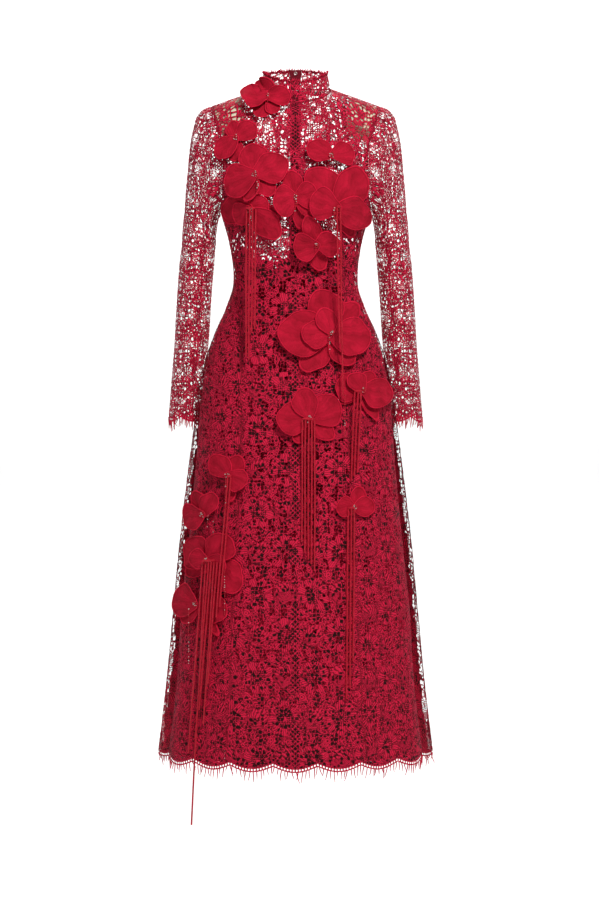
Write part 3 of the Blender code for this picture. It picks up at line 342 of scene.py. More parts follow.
# Each lace: motif size, cell pitch, how much longer than wide its cells are, whether its small piercings
# are open (if not, they are painted as dark dots of shade), then half a bar, how far motifs swell, share
# of cells that are open, share of cells that are hollow within a motif, slits, brightness. Cells that
# aren't open are filled and painted near black as a fine net: painted shade where open cells would show
# dark.
LACES = {
    "skirt": (1.0, 7.4, 1.0, False, (0.70, -0.80, 0.58, 0.55, 0.00, 1.07)),
    "bodice": (1.0, 7.0, 1.2, True, (1.00, -0.4, 1.00, 0.50, 0.40, 0.90)),
    "side": (0.80, 5.8, 1.5, False, (0.80, -0.50, 0.55, 0.40, 0.00, 0.86)),
    "sleeve": (0.74, 6.2, 1.5, True, (0.92, -0.7, 1.00, 0.68, 0.55, 0.80)),
    "back_skirt": (1.0, 7.0, 1.0, False, (1.00, -0.50, 0.00, 0.00, 0.00, 0.80)),
}
CUT_SHARE = 0.42  # of the open cells, how many are cut through the mesh; the rest are left to alpha
CORD_WIDE = 2.3
SHADE_NET_LEAST, SHADE_NET_RANGE = 0.22, 0.30  # how dark the painted shade net in a closed cell is, a little different in each
LADDER_HALF, LADDER_PITCH, LADDER_BAR = 7.5, 9.0, 1.0
LAYOUT_SHIFT = 44.0
COVERED = 1.5  # how far inside the thread a place with no gap counts
YOKE_MIDDLE = (122.0, 60.0)  # where the lace is drawn larger, over the shoulder pads
YOKE_REACH = 55.0
YOKE_LARGER = 0.42


def lace_ground(u, v, lace, look, motif):
    """Threads of the ground and of the hollow motifs, for one lace."""
    _, pitch, stretch, _, _ = LACES[lace]
    bar, swell, opened, hollow, _, _ = look
    edge, number = ground_cells(u, v / stretch, pitch, 3.0)
    bars = bar - edge
    inside = motif + swell
    is_hollow = (number > 1 - hollow) & (inside > CORD_WIDE)
    filled = np.where(is_hollow, np.maximum(bars, CORD_WIDE + 0.6 - inside), inside)
    full = np.where(inside > 0, filled, np.maximum(bars, inside))
    is_open = number < opened
    thread = np.where(is_open, full, COVERED)
    # A closed cell is filled and painted with the shade net, darker away from its bars, each to its own
    # darkest
    darkest = SHADE_NET_LEAST + SHADE_NET_RANGE * (number * 13 % 1)
    return inside, bars, thread, np.where(is_open, 0.0, np.clip(-full, 0, darkest)), number


def drawn_larger(across, down):
    """Places in the lace's layout, which is drawn larger over the shoulder pads."""
    middle = YOKE_MIDDLE[0] * np.sign(across)
    reach = np.hypot(across - middle, down - YOKE_MIDDLE[1]) / YOKE_REACH
    pulled = YOKE_LARGER * np.exp(-(reach**4))
    return across - (across - middle) * pulled + LAYOUT_SHIFT, down - (down - YOKE_MIDDLE[1]) * pulled


def lace_at(across, down, upper, lower=None, lowered=0.0):
    """The lace at places in millimetres: cover above 0 where the mesh stays, thread above 0 where
    there is thread, relief, and the numbers that the material reads. lowered is how far it has changed
    from the upper lace to the lower one."""
    size, _, _, pierced_open, look = LACES[upper]
    other = LACES[lower or upper]
    look = [a + (b - a) * lowered for a, b in zip(look, other[4])]
    u, v = drawn_larger(across, down)
    bent_u = u + 1.6 * np.sin(v / 23.0 + 1.0) + 0.8 * np.sin(v / 9.0)
    bent_v = v + 1.6 * np.sin(u / 19.0) + 0.7 * np.sin(u / 7.0 + 2.0)
    motif, rib, tone, groove, pierced = lace_motifs(bent_u / size, bent_v / size)
    motif, rib = motif * size, rib * size
    found = lace_ground(bent_u, bent_v, upper, look, motif)
    below = np.broadcast_to(lowered > 0.5, u.shape)
    if lower:
        under = lace_ground(bent_u, bent_v, lower, look, motif)
        found = [np.where(below, b, a) for a, b in zip(found, under)]
    inside, bars, thread, shade_net, number = found
    pierced_open = np.where(below, other[3], pierced_open)
    if size == 1.0:
        thread, bars, shade_net = ladder(across, down, thread, bars, shade_net)
    on_motif = np.clip(inside / 1.2, 0, 1)
    cord = np.exp(-(((inside - 1.1) / 0.8) ** 2))
    relief = 0.55 * on_motif + 0.45 * cord - 0.35 * groove * on_motif
    relief = relief + 0.2 * np.clip(bars, 0, 1) - 0.3 * shade_net
    # The cords round the motifs are painted lighter, a painted highlight
    tone = np.where(inside > 0, tone, 0.60 + 0.15 * np.clip(bars, 0, 1)) + 0.16 * cord
    pierced = pierced * (inside > 0.3)
    cut = hashed(number * 91.0, 5.0, 1.0) < CUT_SHARE
    # Piercings are open holes where the lace has them open, and else dots painted dark as shade
    return {"cover": np.where(cut, thread, COVERED), "relief": relief, "cell": number,
            "tone": tone * look[5], "rib": rib, "groove": groove * on_motif,
            "holes": pierced * pierced_open, "shade_dots": pierced * (1 - pierced_open),
            "slits": look[4] * on_motif * (1 - pierced), "thread": np.clip(thread, -3.0, 3.0),
            "shade_net": shade_net}


def ladder(u, v, thread, bars, shade_net):
    """A ladder of crossed bars down the centre line, over a net painted near black as shade."""
    rising, falling = (np.abs(slant / LADDER_PITCH % 1.0 - 0.5) for slant in (v + u, v - u))
    rungs = LADDER_BAR - np.minimum(rising, falling) * LADDER_PITCH * 0.7
    reach = LADDER_HALF + 2.0 * np.sin(v / 17.0) + 1.5 * np.sin(v / 7.3)
    broken = np.sin(v / 41.0) + 0.6 * np.sin(v / 19.0 + 1.0) > -0.55
    here = (np.abs(u) < reach) & broken
    full = np.maximum(rungs, 1.0 - np.abs(np.abs(u) - reach))
    shade_net = np.where(here, np.clip(-full, 0, SHADE_NET_LEAST + SHADE_NET_RANGE), shade_net)
    return np.where(here, COVERED, thread), np.where(here, rungs, bars), shade_net


def cut_out(field, values):
    """Triangles of a grid where the field is above 0, and the values at their corners. The cut runs
    between grid points, where the field passes 0."""
    rows, columns = field.shape
    ids = np.arange(rows * columns).reshape(rows, columns)
    a, b, c, d = ids[:-1, :-1], ids[:-1, 1:], ids[1:, 1:], ids[1:, :-1]
    even = (np.add.outer(np.arange(rows - 1), np.arange(columns - 1)) % 2 == 0)[..., None]
    first = np.where(even, np.stack([a, b, c], -1), np.stack([a, b, d], -1))
    second = np.where(even, np.stack([a, c, d], -1), np.stack([b, c, d], -1))
    triangles = np.concatenate([first.reshape(-1, 3), second.reshape(-1, 3)])
    level = field.reshape(-1)
    values = values.reshape(rows * columns, -1)
    held = level[triangles] > 0
    count = held.sum(1)
    whole = triangles[count == 3]
    new_values, new_faces, start = [values], [whole], len(values)
    for kept, odd in ((1, held), (2, ~held)):
        picked = count == kept
        some, lone = triangles[picked], np.argmax(odd[picked], axis=1)
        line = np.arange(len(some))
        tip = some[line, lone]
        left, right = some[line, (lone + 1) % 3], some[line, (lone + 2) % 3]
        ends = np.concatenate([np.stack([tip, left], -1), np.stack([tip, right], -1)])
        ordered = np.sort(ends, axis=1)
        keys, back = np.unique(ordered[:, 0] * len(values) + ordered[:, 1], return_inverse=True)
        low, high = keys // len(values), keys % len(values)
        share = np.clip(level[low] / (level[low] - level[high]), 0.04, 0.96)[:, None]
        new_values.append(values[low] * (1 - share) + values[high] * share)
        crossing = start + back.reshape(2, -1)
        start += len(keys)
        if kept == 1:
            new_faces.append(np.stack([tip, crossing[0], crossing[1]], -1))
        else:
            new_faces.append(np.stack([crossing[0], left, right], -1))
            new_faces.append(np.stack([crossing[0], right, crossing[1]], -1))
    faces = np.concatenate(new_faces)
    used, faces = np.unique(faces, return_inverse=True)
    return faces.reshape(-1, 3), np.concatenate(new_values)[used]


def placed(name, data):
    """An object in the scene for a mesh, a lamp or a camera."""
    made = bpy.data.objects.new(name, data)
    bpy.context.collection.objects.link(made)
    return made


def mesh_object(name, points, faces, material):
    """A smooth mesh in the scene, from an array of points and an array or list of faces."""
    mesh = bpy.data.meshes.new(name)
    mesh.from_pydata(points.tolist(), [], faces.tolist() if hasattr(faces, "tolist") else faces)
    mesh.materials.append(material)
    mesh.polygons.foreach_set("use_smooth", [True] * len(mesh.polygons))
    return placed(name, mesh)


def add_numbers(made, name, numbers):
    made.data.attributes.new(name, "FLOAT", "POINT").data.foreach_set("value", numbers.astype(np.float32))


def add_map(made, name, places):
    """A UV map from a place for each vertex."""
    corners = np.empty(len(made.data.loops), int)
    made.data.loops.foreach_get("vertex_index", corners)
    made.data.uv_layers.new(name=name).data.foreach_set("uv", places[corners].astype(np.float32).ravel())


LACE_NUMBERS = ("tone", "rib", "groove", "holes", "shade_dots", "slits", "thread", "shade_net")
SEAM_BAND = 4.0
LACE_IN = 0.7 * MM
HEM_BACKED = 170.0  # how high above the scallops of the hem the ground's cells start to be closed
HEM_FADE = 110.0  # over how much height they all close
HEM_SHADE_NET = 0.30  # how dark the painted shade net that closes them is
MAP_MARGIN = 0.004


def back_with_shade_net(found, cover, border):
    """Closes open cells above a hem with a net painted dark as shade, all of them near its scallops and
    fewer higher up.
    """
    closed = (np.clip((HEM_BACKED - border) / HEM_FADE, 0, 1.1) > found["cell"]) & (found["thread"] < 0)
    found["shade_net"] = np.where(closed, np.clip(-found["thread"], 0, HEM_SHADE_NET), found["shade_net"])
    found["thread"] = np.where(closed, 1.0, found["thread"])
    return np.where(closed, 1.0, cover)


def lace_piece(name, points, away, across, down, edge, laces, material, border=None, seam=SEAM_BAND):
    """A lace panel cut from a grid of points, with its flat width and length and its area. across and
    down are the grid's places on the cloth in millimetres, edge how far inside the panel's outline
    each one lies, laces what lace_at takes, border how far above a scalloped hem each place lies."""
    normals = outward(points, away)
    found = lace_at(across, down, *laces)
    cover = np.maximum(found["cover"], seam - edge)
    band = np.clip((seam + 1 - edge) / 2, 0, 1)
    found["tone"] = found["tone"] * (1 - 0.45 * band * seam / SEAM_BAND)
    for number in ("holes", "shade_dots", "slits", "shade_net"):
        found[number] = found[number] * (1 - band)
    found["thread"] = np.maximum(found["thread"], seam - edge)
    if border is not None:
        if laces[0] != "sleeve":
            cover = back_with_shade_net(found, cover, border)
        cover = scallop_border(found, cover, across, border)
    lift = (found["relief"] * MM - LACE_IN)[..., None]
    values = [points + normals * lift, across[..., None], down[..., None]]
    values += [found[number][..., None] for number in LACE_NUMBERS]
    faces, values = cut_out(np.minimum(cover, edge), np.concatenate(values, axis=-1))
    made = mesh_object(name, values[:, :3], faces, material)
    face_out(made, away)
    for k, number in enumerate(LACE_NUMBERS):
        add_numbers(made, number, values[:, 5 + k])
    places = values[:, 3:5]
    low, high = places.min(0), places.max(0)
    add_map(made, "OFBake", (places - low) / (high - low) * (1 - 2 * MAP_MARGIN) + MAP_MARGIN)
    add_map(made, "cut", places * MM)
    cells = np.diff(across, axis=1)[1:] * np.diff(down, axis=0)[:, 1:]
    area = float(np.abs(cells[edge[1:, 1:] > 0]).sum() * MM * MM)
    return made, ((high - low) * MM).tolist(), area


def face_out(made, away):
    """Turns a mesh's faces to the side that away points to."""
    mesh = made.data
    normals, middles = (np.empty(len(mesh.polygons) * 3) for _ in range(2))
    mesh.polygons.foreach_get("normal", normals)
    mesh.polygons.foreach_get("center", middles)
    facing = np.sum(normals.reshape(-1, 3) * away(middles.reshape(-1, 3)), axis=1).sum()
    if facing < 0:
        mesh.flip_normals()


BORDER_CORD = 2.6
BORDER_STEP = 7.5
EDGE_HIGH = 6.0
SCALLOP_DEEP = 11.0
SCALLOPS = {"front": 7, "back": 8, "cuff": 5}


def scallop_depth(share, scallops):
    """How far the scalloped edge hangs below the cloth's own edge, in millimetres. share runs along
    that edge from 0 to 1."""
    return EDGE_HIGH + SCALLOP_DEEP * np.abs(np.sin(math.pi * share * scallops))


def scallop_border(found, cover, across, border):
    """Two corded lines that follow the scallops, with a row of small holes between them."""
    cords = np.maximum(BORDER_CORD / 2 - np.abs(border - BORDER_CORD / 2 - 0.2),
                       BORDER_CORD / 2 - np.abs(border - BORDER_STEP))
    rungs = 1.3 - np.abs((across / 5.6 + 0.5) % 1.0 - 0.5) * 5.6
    between = (border > BORDER_CORD) & (border < BORDER_STEP)
    lines = np.maximum(cords, np.where(between, rungs, -9.0))
    near = border < BORDER_STEP + 1.3
    found["tone"] = np.where(near, 0.9, found["tone"])
    for number in ("groove", "holes", "shade_dots", "slits", "shade_net"):
        found[number] = np.where(near, 0.0, found[number])
    found["rib"] = np.where(near, across, found["rib"])
    found["relief"] = np.where(near, 0.6 * np.clip(lines, 0, 1), found["relief"])
    found["thread"] = np.where(near, np.clip(lines, -3, 3), found["thread"])
    return np.where(near, lines, cover)


class Shade:
    """A shader socket that works like a number: an expression on it adds Math nodes to its tree."""

    def __init__(self, tree, socket=None):
        self.tree = tree
        self.socket = socket

    def node(self, kind, settings=None, values=None, out=0):
        """Adds a node from its type, its settings, and the values or links of its sockets."""
        made = self.tree.nodes.new("ShaderNode" + kind)
        for name, value in (settings or {}).items():
            setattr(made, name, value)
        for name, value in (values or {}).items():
            if isinstance(value, Shade):
                self.tree.links.new(value.socket, made.inputs[name])
            else:
                made.inputs[name].default_value = value
        return Shade(self.tree, made.outputs[out])

    def maths(self, operation, *values):
        return self.node("Math", {"operation": operation}, dict(enumerate(values)))

    def __add__(self, other):
        return self.maths("ADD", self, other)

    def __sub__(self, other):
        return self.maths("SUBTRACT", self, other)

    def __rsub__(self, other):
        return self.maths("SUBTRACT", other, self)

    def __mul__(self, other):
        return self.maths("MULTIPLY", self, other)

    def ramp(self, low, high):
        """0 below low and 1 above high, with a soft rise between."""
        return self.node("MapRange", {"interpolation_type": "SMOOTHSTEP"},
                         {"Value": self, "From Min": low, "From Max": high})

    def blend(self, first, second):
        """Two colours mixed by this number."""
        return self.node("Mix", {"data_type": "RGBA"}, {0: self, 6: first, 7: second}, 2)

    def place(self):
        """The place on the object."""
        return self.node("TexCoord", out=3)

    def number(self, name):
        """One of the mesh's own numbers."""
        return self.node("Attribute", {"attribute_name": name}, out=2)

    def noise(self, place, scale, detail=2.0, rough=0.5):
        return self.node("TexNoise", None, {"Vector": place, "Scale": scale, "Detail": detail,
                                            "Roughness": rough})

    def apart(self, place):
        """The x, y and z of a place."""
        split = self.node("SeparateXYZ", None, {"Vector": place})
        return [Shade(self.tree, split.socket.node.outputs[k]) for k in range(3)]

    def bump(self, height, distance):
        return self.node("Bump", None, {"Height": height, "Distance": distance, "Strength": 1.0})


def drafted(name):
    """A material's empty tree to write its expressions in."""
    material = bpy.data.materials.new(name)
    material.use_nodes = True
    return material, Shade(material.node_tree)


def finish_material(material, **sockets):
    """Feeds the shader's sockets with numbers, colours or expressions."""
    shader = material.node_tree.nodes["Principled BSDF"]
    for name, value in sockets.items():
        socket = shader.inputs[name.replace("_", " ")]
        if isinstance(value, Shade):
            material.node_tree.links.new(value.socket, socket)
        else:
            socket.default_value = value
    return material


LACE_DARK = (0.16, 0.0012, 0.008, 1.0)
LACE_LIGHT = (0.82, 0.011, 0.062, 1.0)
# Near black, painted as shade in closed cells, closed piercings and the troughs between ribs
LACE_SHADE = (0.020, 0.0004, 0.0015, 1.0)
SEED_PITCH = 3.6 * MM
NET_PITCH = 4.4 * MM


def lace_material():
    """Matte cotton thread: ribbed motifs and a fine pierced net, with painted light and shade: cords and
    rib ridges painted lighter, grooves and rib troughs painted darker, and closed cells and piercings
    painted near black.
    """
    material, shade = drafted("corded lace")
    cut = shade.node("UVMap", {"uv_map": "cut"})
    fine = shade.noise(cut, 1400.0, 3.0)
    broad = shade.noise(cut, 28.0, 2.0)
    wander = shade.noise(cut, 160.0, 1.0) * 7.0
    rib = shade.maths("SINE", shade.number("rib") * (math.tau / RIB_PITCH) + wander)
    cell = shade.node("TexVoronoi", {"feature": "DISTANCE_TO_EDGE", "voronoi_dimensions": "2D"},
                      {"Vector": cut, "Scale": 1 / NET_PITCH, "Randomness": 0.55})
    groove = shade.number("groove")
    hole = cell.ramp(0.17, 0.21) * shade.number("holes").ramp(0.3, 0.45)
    covered = shade.number("thread").ramp(-0.15, 0.15)
    slit = (0.0 - rib).ramp(0.55, 0.75) * shade.number("slits").ramp(0.3, 0.5) * fine.ramp(0.40, 0.48)
    # Tone carries the cords' painted highlight; the ribs are painted lighter on their ridges and darker
    # between, and the grooves darker, as painted light and shade
    light = shade.number("tone") * 0.90 + rib * 0.36 + fine * 0.30 + broad * 0.22 - groove * 0.90 - 0.16
    seeds = shade.node("TexVoronoi", {"voronoi_dimensions": "2D"},
                       {"Vector": cut, "Scale": 1 / SEED_PITCH, "Randomness": 0.35})
    # Piercings that are left closed are painted as near-black dots of shade
    dot_shade = (1.0 - seeds.ramp(0.30, 0.38)) * shade.number("shade_dots").ramp(0.3, 0.5)
    # The troughs between ribs are painted near black as shade
    trough_shade = (0.0 - rib).ramp(0.60, 0.92) * (fine * 0.5 + broad * 0.5).ramp(0.40, 0.50) * 0.85
    # Painted shade, mixed towards near black: the closed cells' net, the closed piercings and the rib
    # troughs
    deep = shade.number("shade_net").ramp(0.0, 0.35) + dot_shade + trough_shade
    height = rib * 0.5 + fine * 0.5 - groove * 0.9 - cell.ramp(0.12, 0.25) * shade.number("holes")
    return finish_material(
        material, Base_Color=deep.blend(light.ramp(0.0, 1.0).blend(LACE_DARK, LACE_LIGHT), LACE_SHADE),
        Roughness=0.72, Alpha=covered * (1.0 - hole) * (1.0 - slit), Normal=shade.bump(height, 0.5 * MM),
        Specular_IOR_Level=0.18, Sheen_Weight=0.08, Sheen_Roughness=0.45, Sheen_Tint=(1.0, 0.2, 0.3, 1.0))


lace_thread = lace_material()
MID_SHARE = 0.45  # where across a half panel its length is measured
ROWS_ABOVE, ROWS_BELOW = 160, 500
SHARES_ACROSS = 150


def body_grid(face, cell, top_row, shares):
    """Grid over a body panel: points, places across and down in millimetres, and how far inside the
    panel's two side edges each one lies. shares(row) gives the shares of those edges."""
    rows = np.concatenate([np.linspace(top_row, 0, ROWS_ABOVE)[:-1],
                           np.linspace(0, HEM_Z[face] - ARMPIT_Z, ROWS_BELOW)])
    walked = walk(cloth(face, MID_SHARE, rows))
    steps = round(walked[-1] / cell)
    rows = np.interp(np.linspace(0, walked[-1], steps + 1), walked, rows)
    fine = np.linspace(0, BEYOND, SHARES_ACROSS)
    arcs = walk(cloth(face, fine[None, :], rows[:, None]), axis=1)
    low_share, high_share = (np.broadcast_to(s, rows.shape) for s in shares(rows))

    def arc_of(share):
        return np.array([np.interp(abs(s), fine, arc) for s, arc in zip(share, arcs)]) * np.sign(share)

    low, high = arc_of(low_share), arc_of(high_share)
    first, last = math.floor(low.min() / cell) - 1, math.ceil(high.max() / cell) + 1
    across = np.arange(first, last + 1) * cell
    share = np.array([np.interp(np.abs(across), arc, fine) for arc in arcs]) * np.sign(across)
    points = cloth(face, share, rows[:, None])
    edge = np.minimum(across[None, :] - low[:, None], high[:, None] - across[None, :]) / MM
    down = np.arange(steps + 1) * (walked[-1] / steps)
    across, down = np.meshgrid(across / MM, (down + cloth_start(face, top_row)) / MM)
    return points, across, down, edge


def cloth_start(face, top_row):
    """How far down the cloth a panel's first row lies, so that neighbours share one lace layout."""
    return walk(cloth(face, MID_SHARE, np.linspace(1.0, top_row, ROWS_ABOVE // 2)))[-1]


def front_away(points):
    return points * (0.35, 0.0, 0.0) + (0.0, -1.0, 0.0)


def pressed(face, points, away):
    """Points of a panel with its soft creases pressed in."""
    return points - outward(points, away) * crease_depth(face, points)[..., None]


def half_hem(face):
    """Length of the hem from the centre to one side, in millimetres."""
    return walk(cloth(face, np.linspace(0, 1, 300), HEM_Z[face] - ARMPIT_Z))[-1] / MM


def above_scallops(face, across, down):
    """How far above the scalloped edge of the hem each place on a panel lies."""
    share = (across / half_hem(face) + 1) / 2
    return down[-1:, :] - down + scallop_depth(share, SCALLOPS[face])


def princess_seam(rows):
    return smooth_row(PRINCESS, rows)[..., 0]


def princess_share(rows):
    """Edge of the centre panel: the whole half above the seam's top, then the seam."""
    return np.where(rows > PRINCESS_TOP_ROW, 1.0, princess_seam(rows))


def centre_edges(rows):
    return -princess_share(rows), princess_share(rows)


WAIST_DOWN = 390.0  # where the open lace of the bodice gives way to the dense skirt
WAIST_WAVE, WAIST_FADE = 14.0, 24.0


def body_laces(across, down, skirt):
    """Open lace above the waist and dense lace below it, changing along a wavy line."""
    below = (down - WAIST_DOWN + WAIST_WAVE * np.sin(across / 31.0)) / WAIST_FADE
    return "bodice", skirt, np.clip(below + 0.5, 0, 1)


def dress(made, node=None, body="tunic"):
    """Sets a piece on its body and hides the solid whose place it takes."""
    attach(made, body)
    if node:
        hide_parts(node)


def hang(made, size, area, node):
    """Sets a lace piece on its body and hides the solid it stands for. Its flat width, length and area
    are unpacked but go unused.
    """
    dress(made, node)
    width, length = size
    min(area, width * length)


def body_panel(node, face, away, cell, top_row, shares, laces_at):
    """Cuts a panel of the body and hangs it, and gives how far down its lace reaches. laces_at gives
    its laces from places across and down, and from how far inside its side edges they lie."""
    points, across, down, edge = body_grid(face, cell, top_row, shares)
    panel, size, area = lace_piece(f"{node}_lace", pressed(face, points, away), away, across, down, edge,
                                   laces_at(across, down, edge), lace_thread,
                                   above_scallops(face, across, down))
    hang(panel, size, area, node)
    return down[-1, 0]


hem_down = {"front": body_panel("front_centre", "front", front_away, 1.98 * MM, 1.0, centre_edges,
                                lambda across, down, edge: body_laces(across, down, "skirt"))}


def half_edges(side, inner_at):
    """Edges of a panel that runs from an inner seam out to the side, on one side of the body."""
    def edges(rows):
        inner, outer = inner_at(rows), np.ones_like(rows)
        return (inner, outer) if side > 0 else (-outer, -inner)

    return edges


SIDES = (("left", -1), ("right", 1))
for side_name, side in SIDES:
    body_panel(f"front_side_{side_name}", "front", front_away, 2.1 * MM, PRINCESS_TOP_ROW - 0.012,
               half_edges(side, princess_seam), lambda across, down, edge: ("side",))

# Back panels: a left and a right back, joined down the middle by the zip and below it by a seam.
# The same lace, denser in the skirt. They hang free of the front below the tops of the side slits.

SECTIONS["back"] = (
    (0.030, 0.200, 54.6, 0.070, 0.90),
    (-0.020, 0.200, 54.6, 0.085, 0.90),
    (-0.070, 0.196, 49.0, 0.097, 0.90),
    (-0.120, 0.188, 48.1, 0.104, 0.90),
    (-0.170, 0.172, 54.5, 0.104, 0.90),
    (-0.210, 0.154, 67.8, 0.100, 0.90),
    (-0.235, 0.1445, 90.0, 0.097, 0.90),
    (-0.300, 0.1270, 90.0, 0.084, 0.90),
    (-0.367, 0.1210, 90.0, 0.076, 0.90),
    (-0.415, 0.1350, 90.0, 0.083, 1.00),
    (-0.460, 0.1560, 90.0, 0.095, 1.12),
    (-0.520, 0.1770, 89.0, 0.110, 1.25),
    (-0.600, 0.1920, 88.0, 0.120, 1.25),
    (-0.720, 0.2090, 86.0, 0.130, 1.25),
    (-0.860, 0.2270, 84.0, 0.139, 1.20),
    (-1.000, 0.2420, 82.0, 0.147, 1.10),
    (-1.140, 0.2570, 80.0, 0.155, 1.10),
    (-1.290, 0.2760, 79.0, 0.163, 1.10),
)
CREASES["back"] = (
    (-0.070, -0.350, 0.060, 0.010, 0.0016, -0.50),
    (0.066, -0.362, 0.054, 0.009, 0.0014, 0.60),
    (-0.110, -0.160, 0.060, 0.010, 0.0015, 0.60),
    (0.108, -0.150, 0.052, 0.009, 0.0013, -0.70),
    (-0.090, -0.680, 0.240, 0.018, 0.0024, 0.03),
    (0.085, -0.760, 0.280, 0.019, 0.0022, -0.02),
    (-0.150, -0.980, 0.240, 0.020, 0.0024, -0.04),
    (0.160, -1.040, 0.220, 0.018, 0.0022, 0.04),
    (0.030, -1.080, 0.200, 0.017, 0.0018, 0.02),
)


def back_away(points):
    return points * (0.35, 0.0, 0.0) + (0.0, 1.0, 0.0)


ZIP_END_Z = -0.415
ZIP_HALF_SHARE = 0.012
BACK_LAP = -0.003  # below the zip the two backs lap a little at the seam
OPEN_EDGE = 20.0  # width of the open lace along each side of the back skirt
OPEN_FADE = 8.0
MIDDLE_WIDE = 60.0  # how far from the centre seam the lace stays dense


def back_seam(rows):
    """Inner edge of a half back, which leaves the zip's teeth free down the centre."""
    return np.where(rows > ZIP_END_Z - ARMPIT_Z, ZIP_HALF_SHARE, BACK_LAP)


def back_laces(across, down, edge):
    """The body's laces, but open along the outer edge of the skirt."""
    upper, lower, lowered = body_laces(across, down, "back_skirt")
    from_side = np.clip((edge - OPEN_EDGE) / OPEN_FADE, 0, 1)
    return upper, lower, lowered * np.where(np.abs(across) > MIDDLE_WIDE, from_side, 1.0)


for side_name, side in SIDES:
    hem_down["back"] = body_panel(f"back_{side_name}", "back", back_away, 2.6 * MM, 1.0,
                                  half_edges(side, back_seam), back_laces)

# Stand collar: one band of the lace that stands up from the neckline, from one side of the zip round
# to the other. Its top edge runs in small scallops.

COLLAR_TOP = {"front": (-0.051, 0.018), "back": (0.061, 0.062)}  # y and z of the top edge's middles
COLLAR_TOP_HALF = 0.0625
NECK_SHARE = 0.37  # of each half of the top edge, how much is neckline
COLLAR_SIDE_Z = 0.045
COLLAR_DIP = 1.5  # how steeply the top edge leaves those middles
COLLAR_HIGH = 40.0
COLLAR_SCALLOP, COLLAR_WAVE = 2.2, 5.5
COLLAR_LAYOUT = 300.0  # where the collar's lace starts across, away from the body's
COLLAR_END = math.pi - 0.005
COLLAR_COLUMNS, COLLAR_ROWS = 290, 40


def body_rim(in_front, share, row):
    """Points of the body's cloth, on its front where in_front says so and else on its back."""
    return np.where(in_front[..., None], cloth("front", share, row), cloth("back", share, row))


def collar_at(turn, height):
    """Points of the collar. turn runs from 0 at the centre front to half a circle at each side of
    the zip, height from 0 at the neckline to 1 at the top."""
    in_front = np.abs(turn) <= math.pi / 2
    share = NECK_SHARE * np.where(in_front, np.abs(turn), math.pi - np.abs(turn)) / (math.pi / 2)
    side = np.where(turn < 0, -1.0, 1.0)
    base = body_rim(in_front, side * share, 1.0)
    facing = np.abs(np.cos(turn))
    top_y, top_z = (np.where(in_front, a, b) for a, b in zip(COLLAR_TOP["front"], COLLAR_TOP["back"]))
    top = np.stack([side * COLLAR_TOP_HALF * np.abs(np.sin(turn)),
                    NECK_CENTRE_Y + (top_y - NECK_CENTRE_Y) * facing,
                    COLLAR_SIDE_Z + (top_z - COLLAR_SIDE_Z) * facing**COLLAR_DIP], axis=-1)
    return base + (top - base) * height[..., None]


def collar_away(points):
    return (points - (0.0, NECK_CENTRE_Y, 0.0)) * (1.0, 1.0, 0.0)


def collar_scallop(across):
    """How far the collar's top edge dips below its full height, in millimetres."""
    return COLLAR_SCALLOP * np.abs(np.sin(across / COLLAR_WAVE))


collar_turns = np.linspace(-COLLAR_END, COLLAR_END, COLLAR_COLUMNS)
turn, height = np.meshgrid(collar_turns, np.linspace(1, 0, COLLAR_ROWS))
points = collar_at(turn, height)
collar_across = walk(points[COLLAR_ROWS // 2]) / MM
collar_across = collar_across - collar_across[-1] / 2
across = np.broadcast_to(collar_across, turn.shape)
down = (1 - height) * COLLAR_HIGH
edge = np.minimum(collar_across[-1] - np.abs(across) + 0.5, down + 0.4 - collar_scallop(across))
edge = np.minimum(edge, COLLAR_HIGH - down + 0.5)
collar, size, area = lace_piece("collar_lace", points, collar_away, across + COLLAR_LAYOUT, down, edge,
                                ("bodice",), lace_thread)
hang(collar, size, area, "collar")

# Sleeves: an upper and an under piece each, of a smaller and more open repeat, seamed down the front
# and the back of the arm and set into the armhole.

# Outer x, outer z, inner x, inner z, half depth, middle y, dip into the armhole
SLEEVE_RINGS = (
    (0.1880, -0.0330, 0.1485, -0.2410, 0.066, 0.003, 0.012),
    (0.1985, -0.0600, 0.1495, -0.2430, 0.064, 0.004, 0.006),
    (0.2055, -0.0980, 0.1507, -0.2460, 0.061, 0.005, 0.000),
    (0.2126, -0.1660, 0.1525, -0.2560, 0.058, 0.008, 0.000),
    (0.2204, -0.2440, 0.1545, -0.2820, 0.054, 0.012, 0.000),
    (0.2265, -0.3150, 0.1590, -0.3250, 0.050, 0.018, 0.000),
    (0.2330, -0.3950, 0.1655, -0.3970, 0.048, 0.027, 0.000),
    (0.2380, -0.4700, 0.1700, -0.4700, 0.046, 0.036, 0.000),
    (0.2440, -0.5450, 0.1770, -0.5450, 0.044, 0.046, 0.000),
    (0.2510, -0.6190, 0.1845, -0.6190, 0.042, 0.055, 0.000),
)
SLEEVE_SEAM = math.acos(2 * 0.36 - 1)  # how far round the arm the seams lie, from the outside
# Creases across the sleeve: how far down it, length along it, depth, waves round it, start
SLEEVE_CREASES = (
    (0.10, 0.035, 0.0020, 2.0, 0.4),
    (0.20, 0.050, 0.0014, 3.0, 2.0),
    (0.47, 0.040, 0.0024, 2.0, 1.2),
    (0.56, 0.036, 0.0020, 3.0, 0.3),
    (0.80, 0.045, 0.0014, 2.0, 2.6),
)

SLEEVE_DOWN = 620.0
SLEEVE_LAYOUT = 500.0  # where the sleeves' lace starts across, away from the body's
SLEEVE_BAND = 1.6
SEAM_SPARE = 0.06  # how far past its seams a sleeve's form is worked out


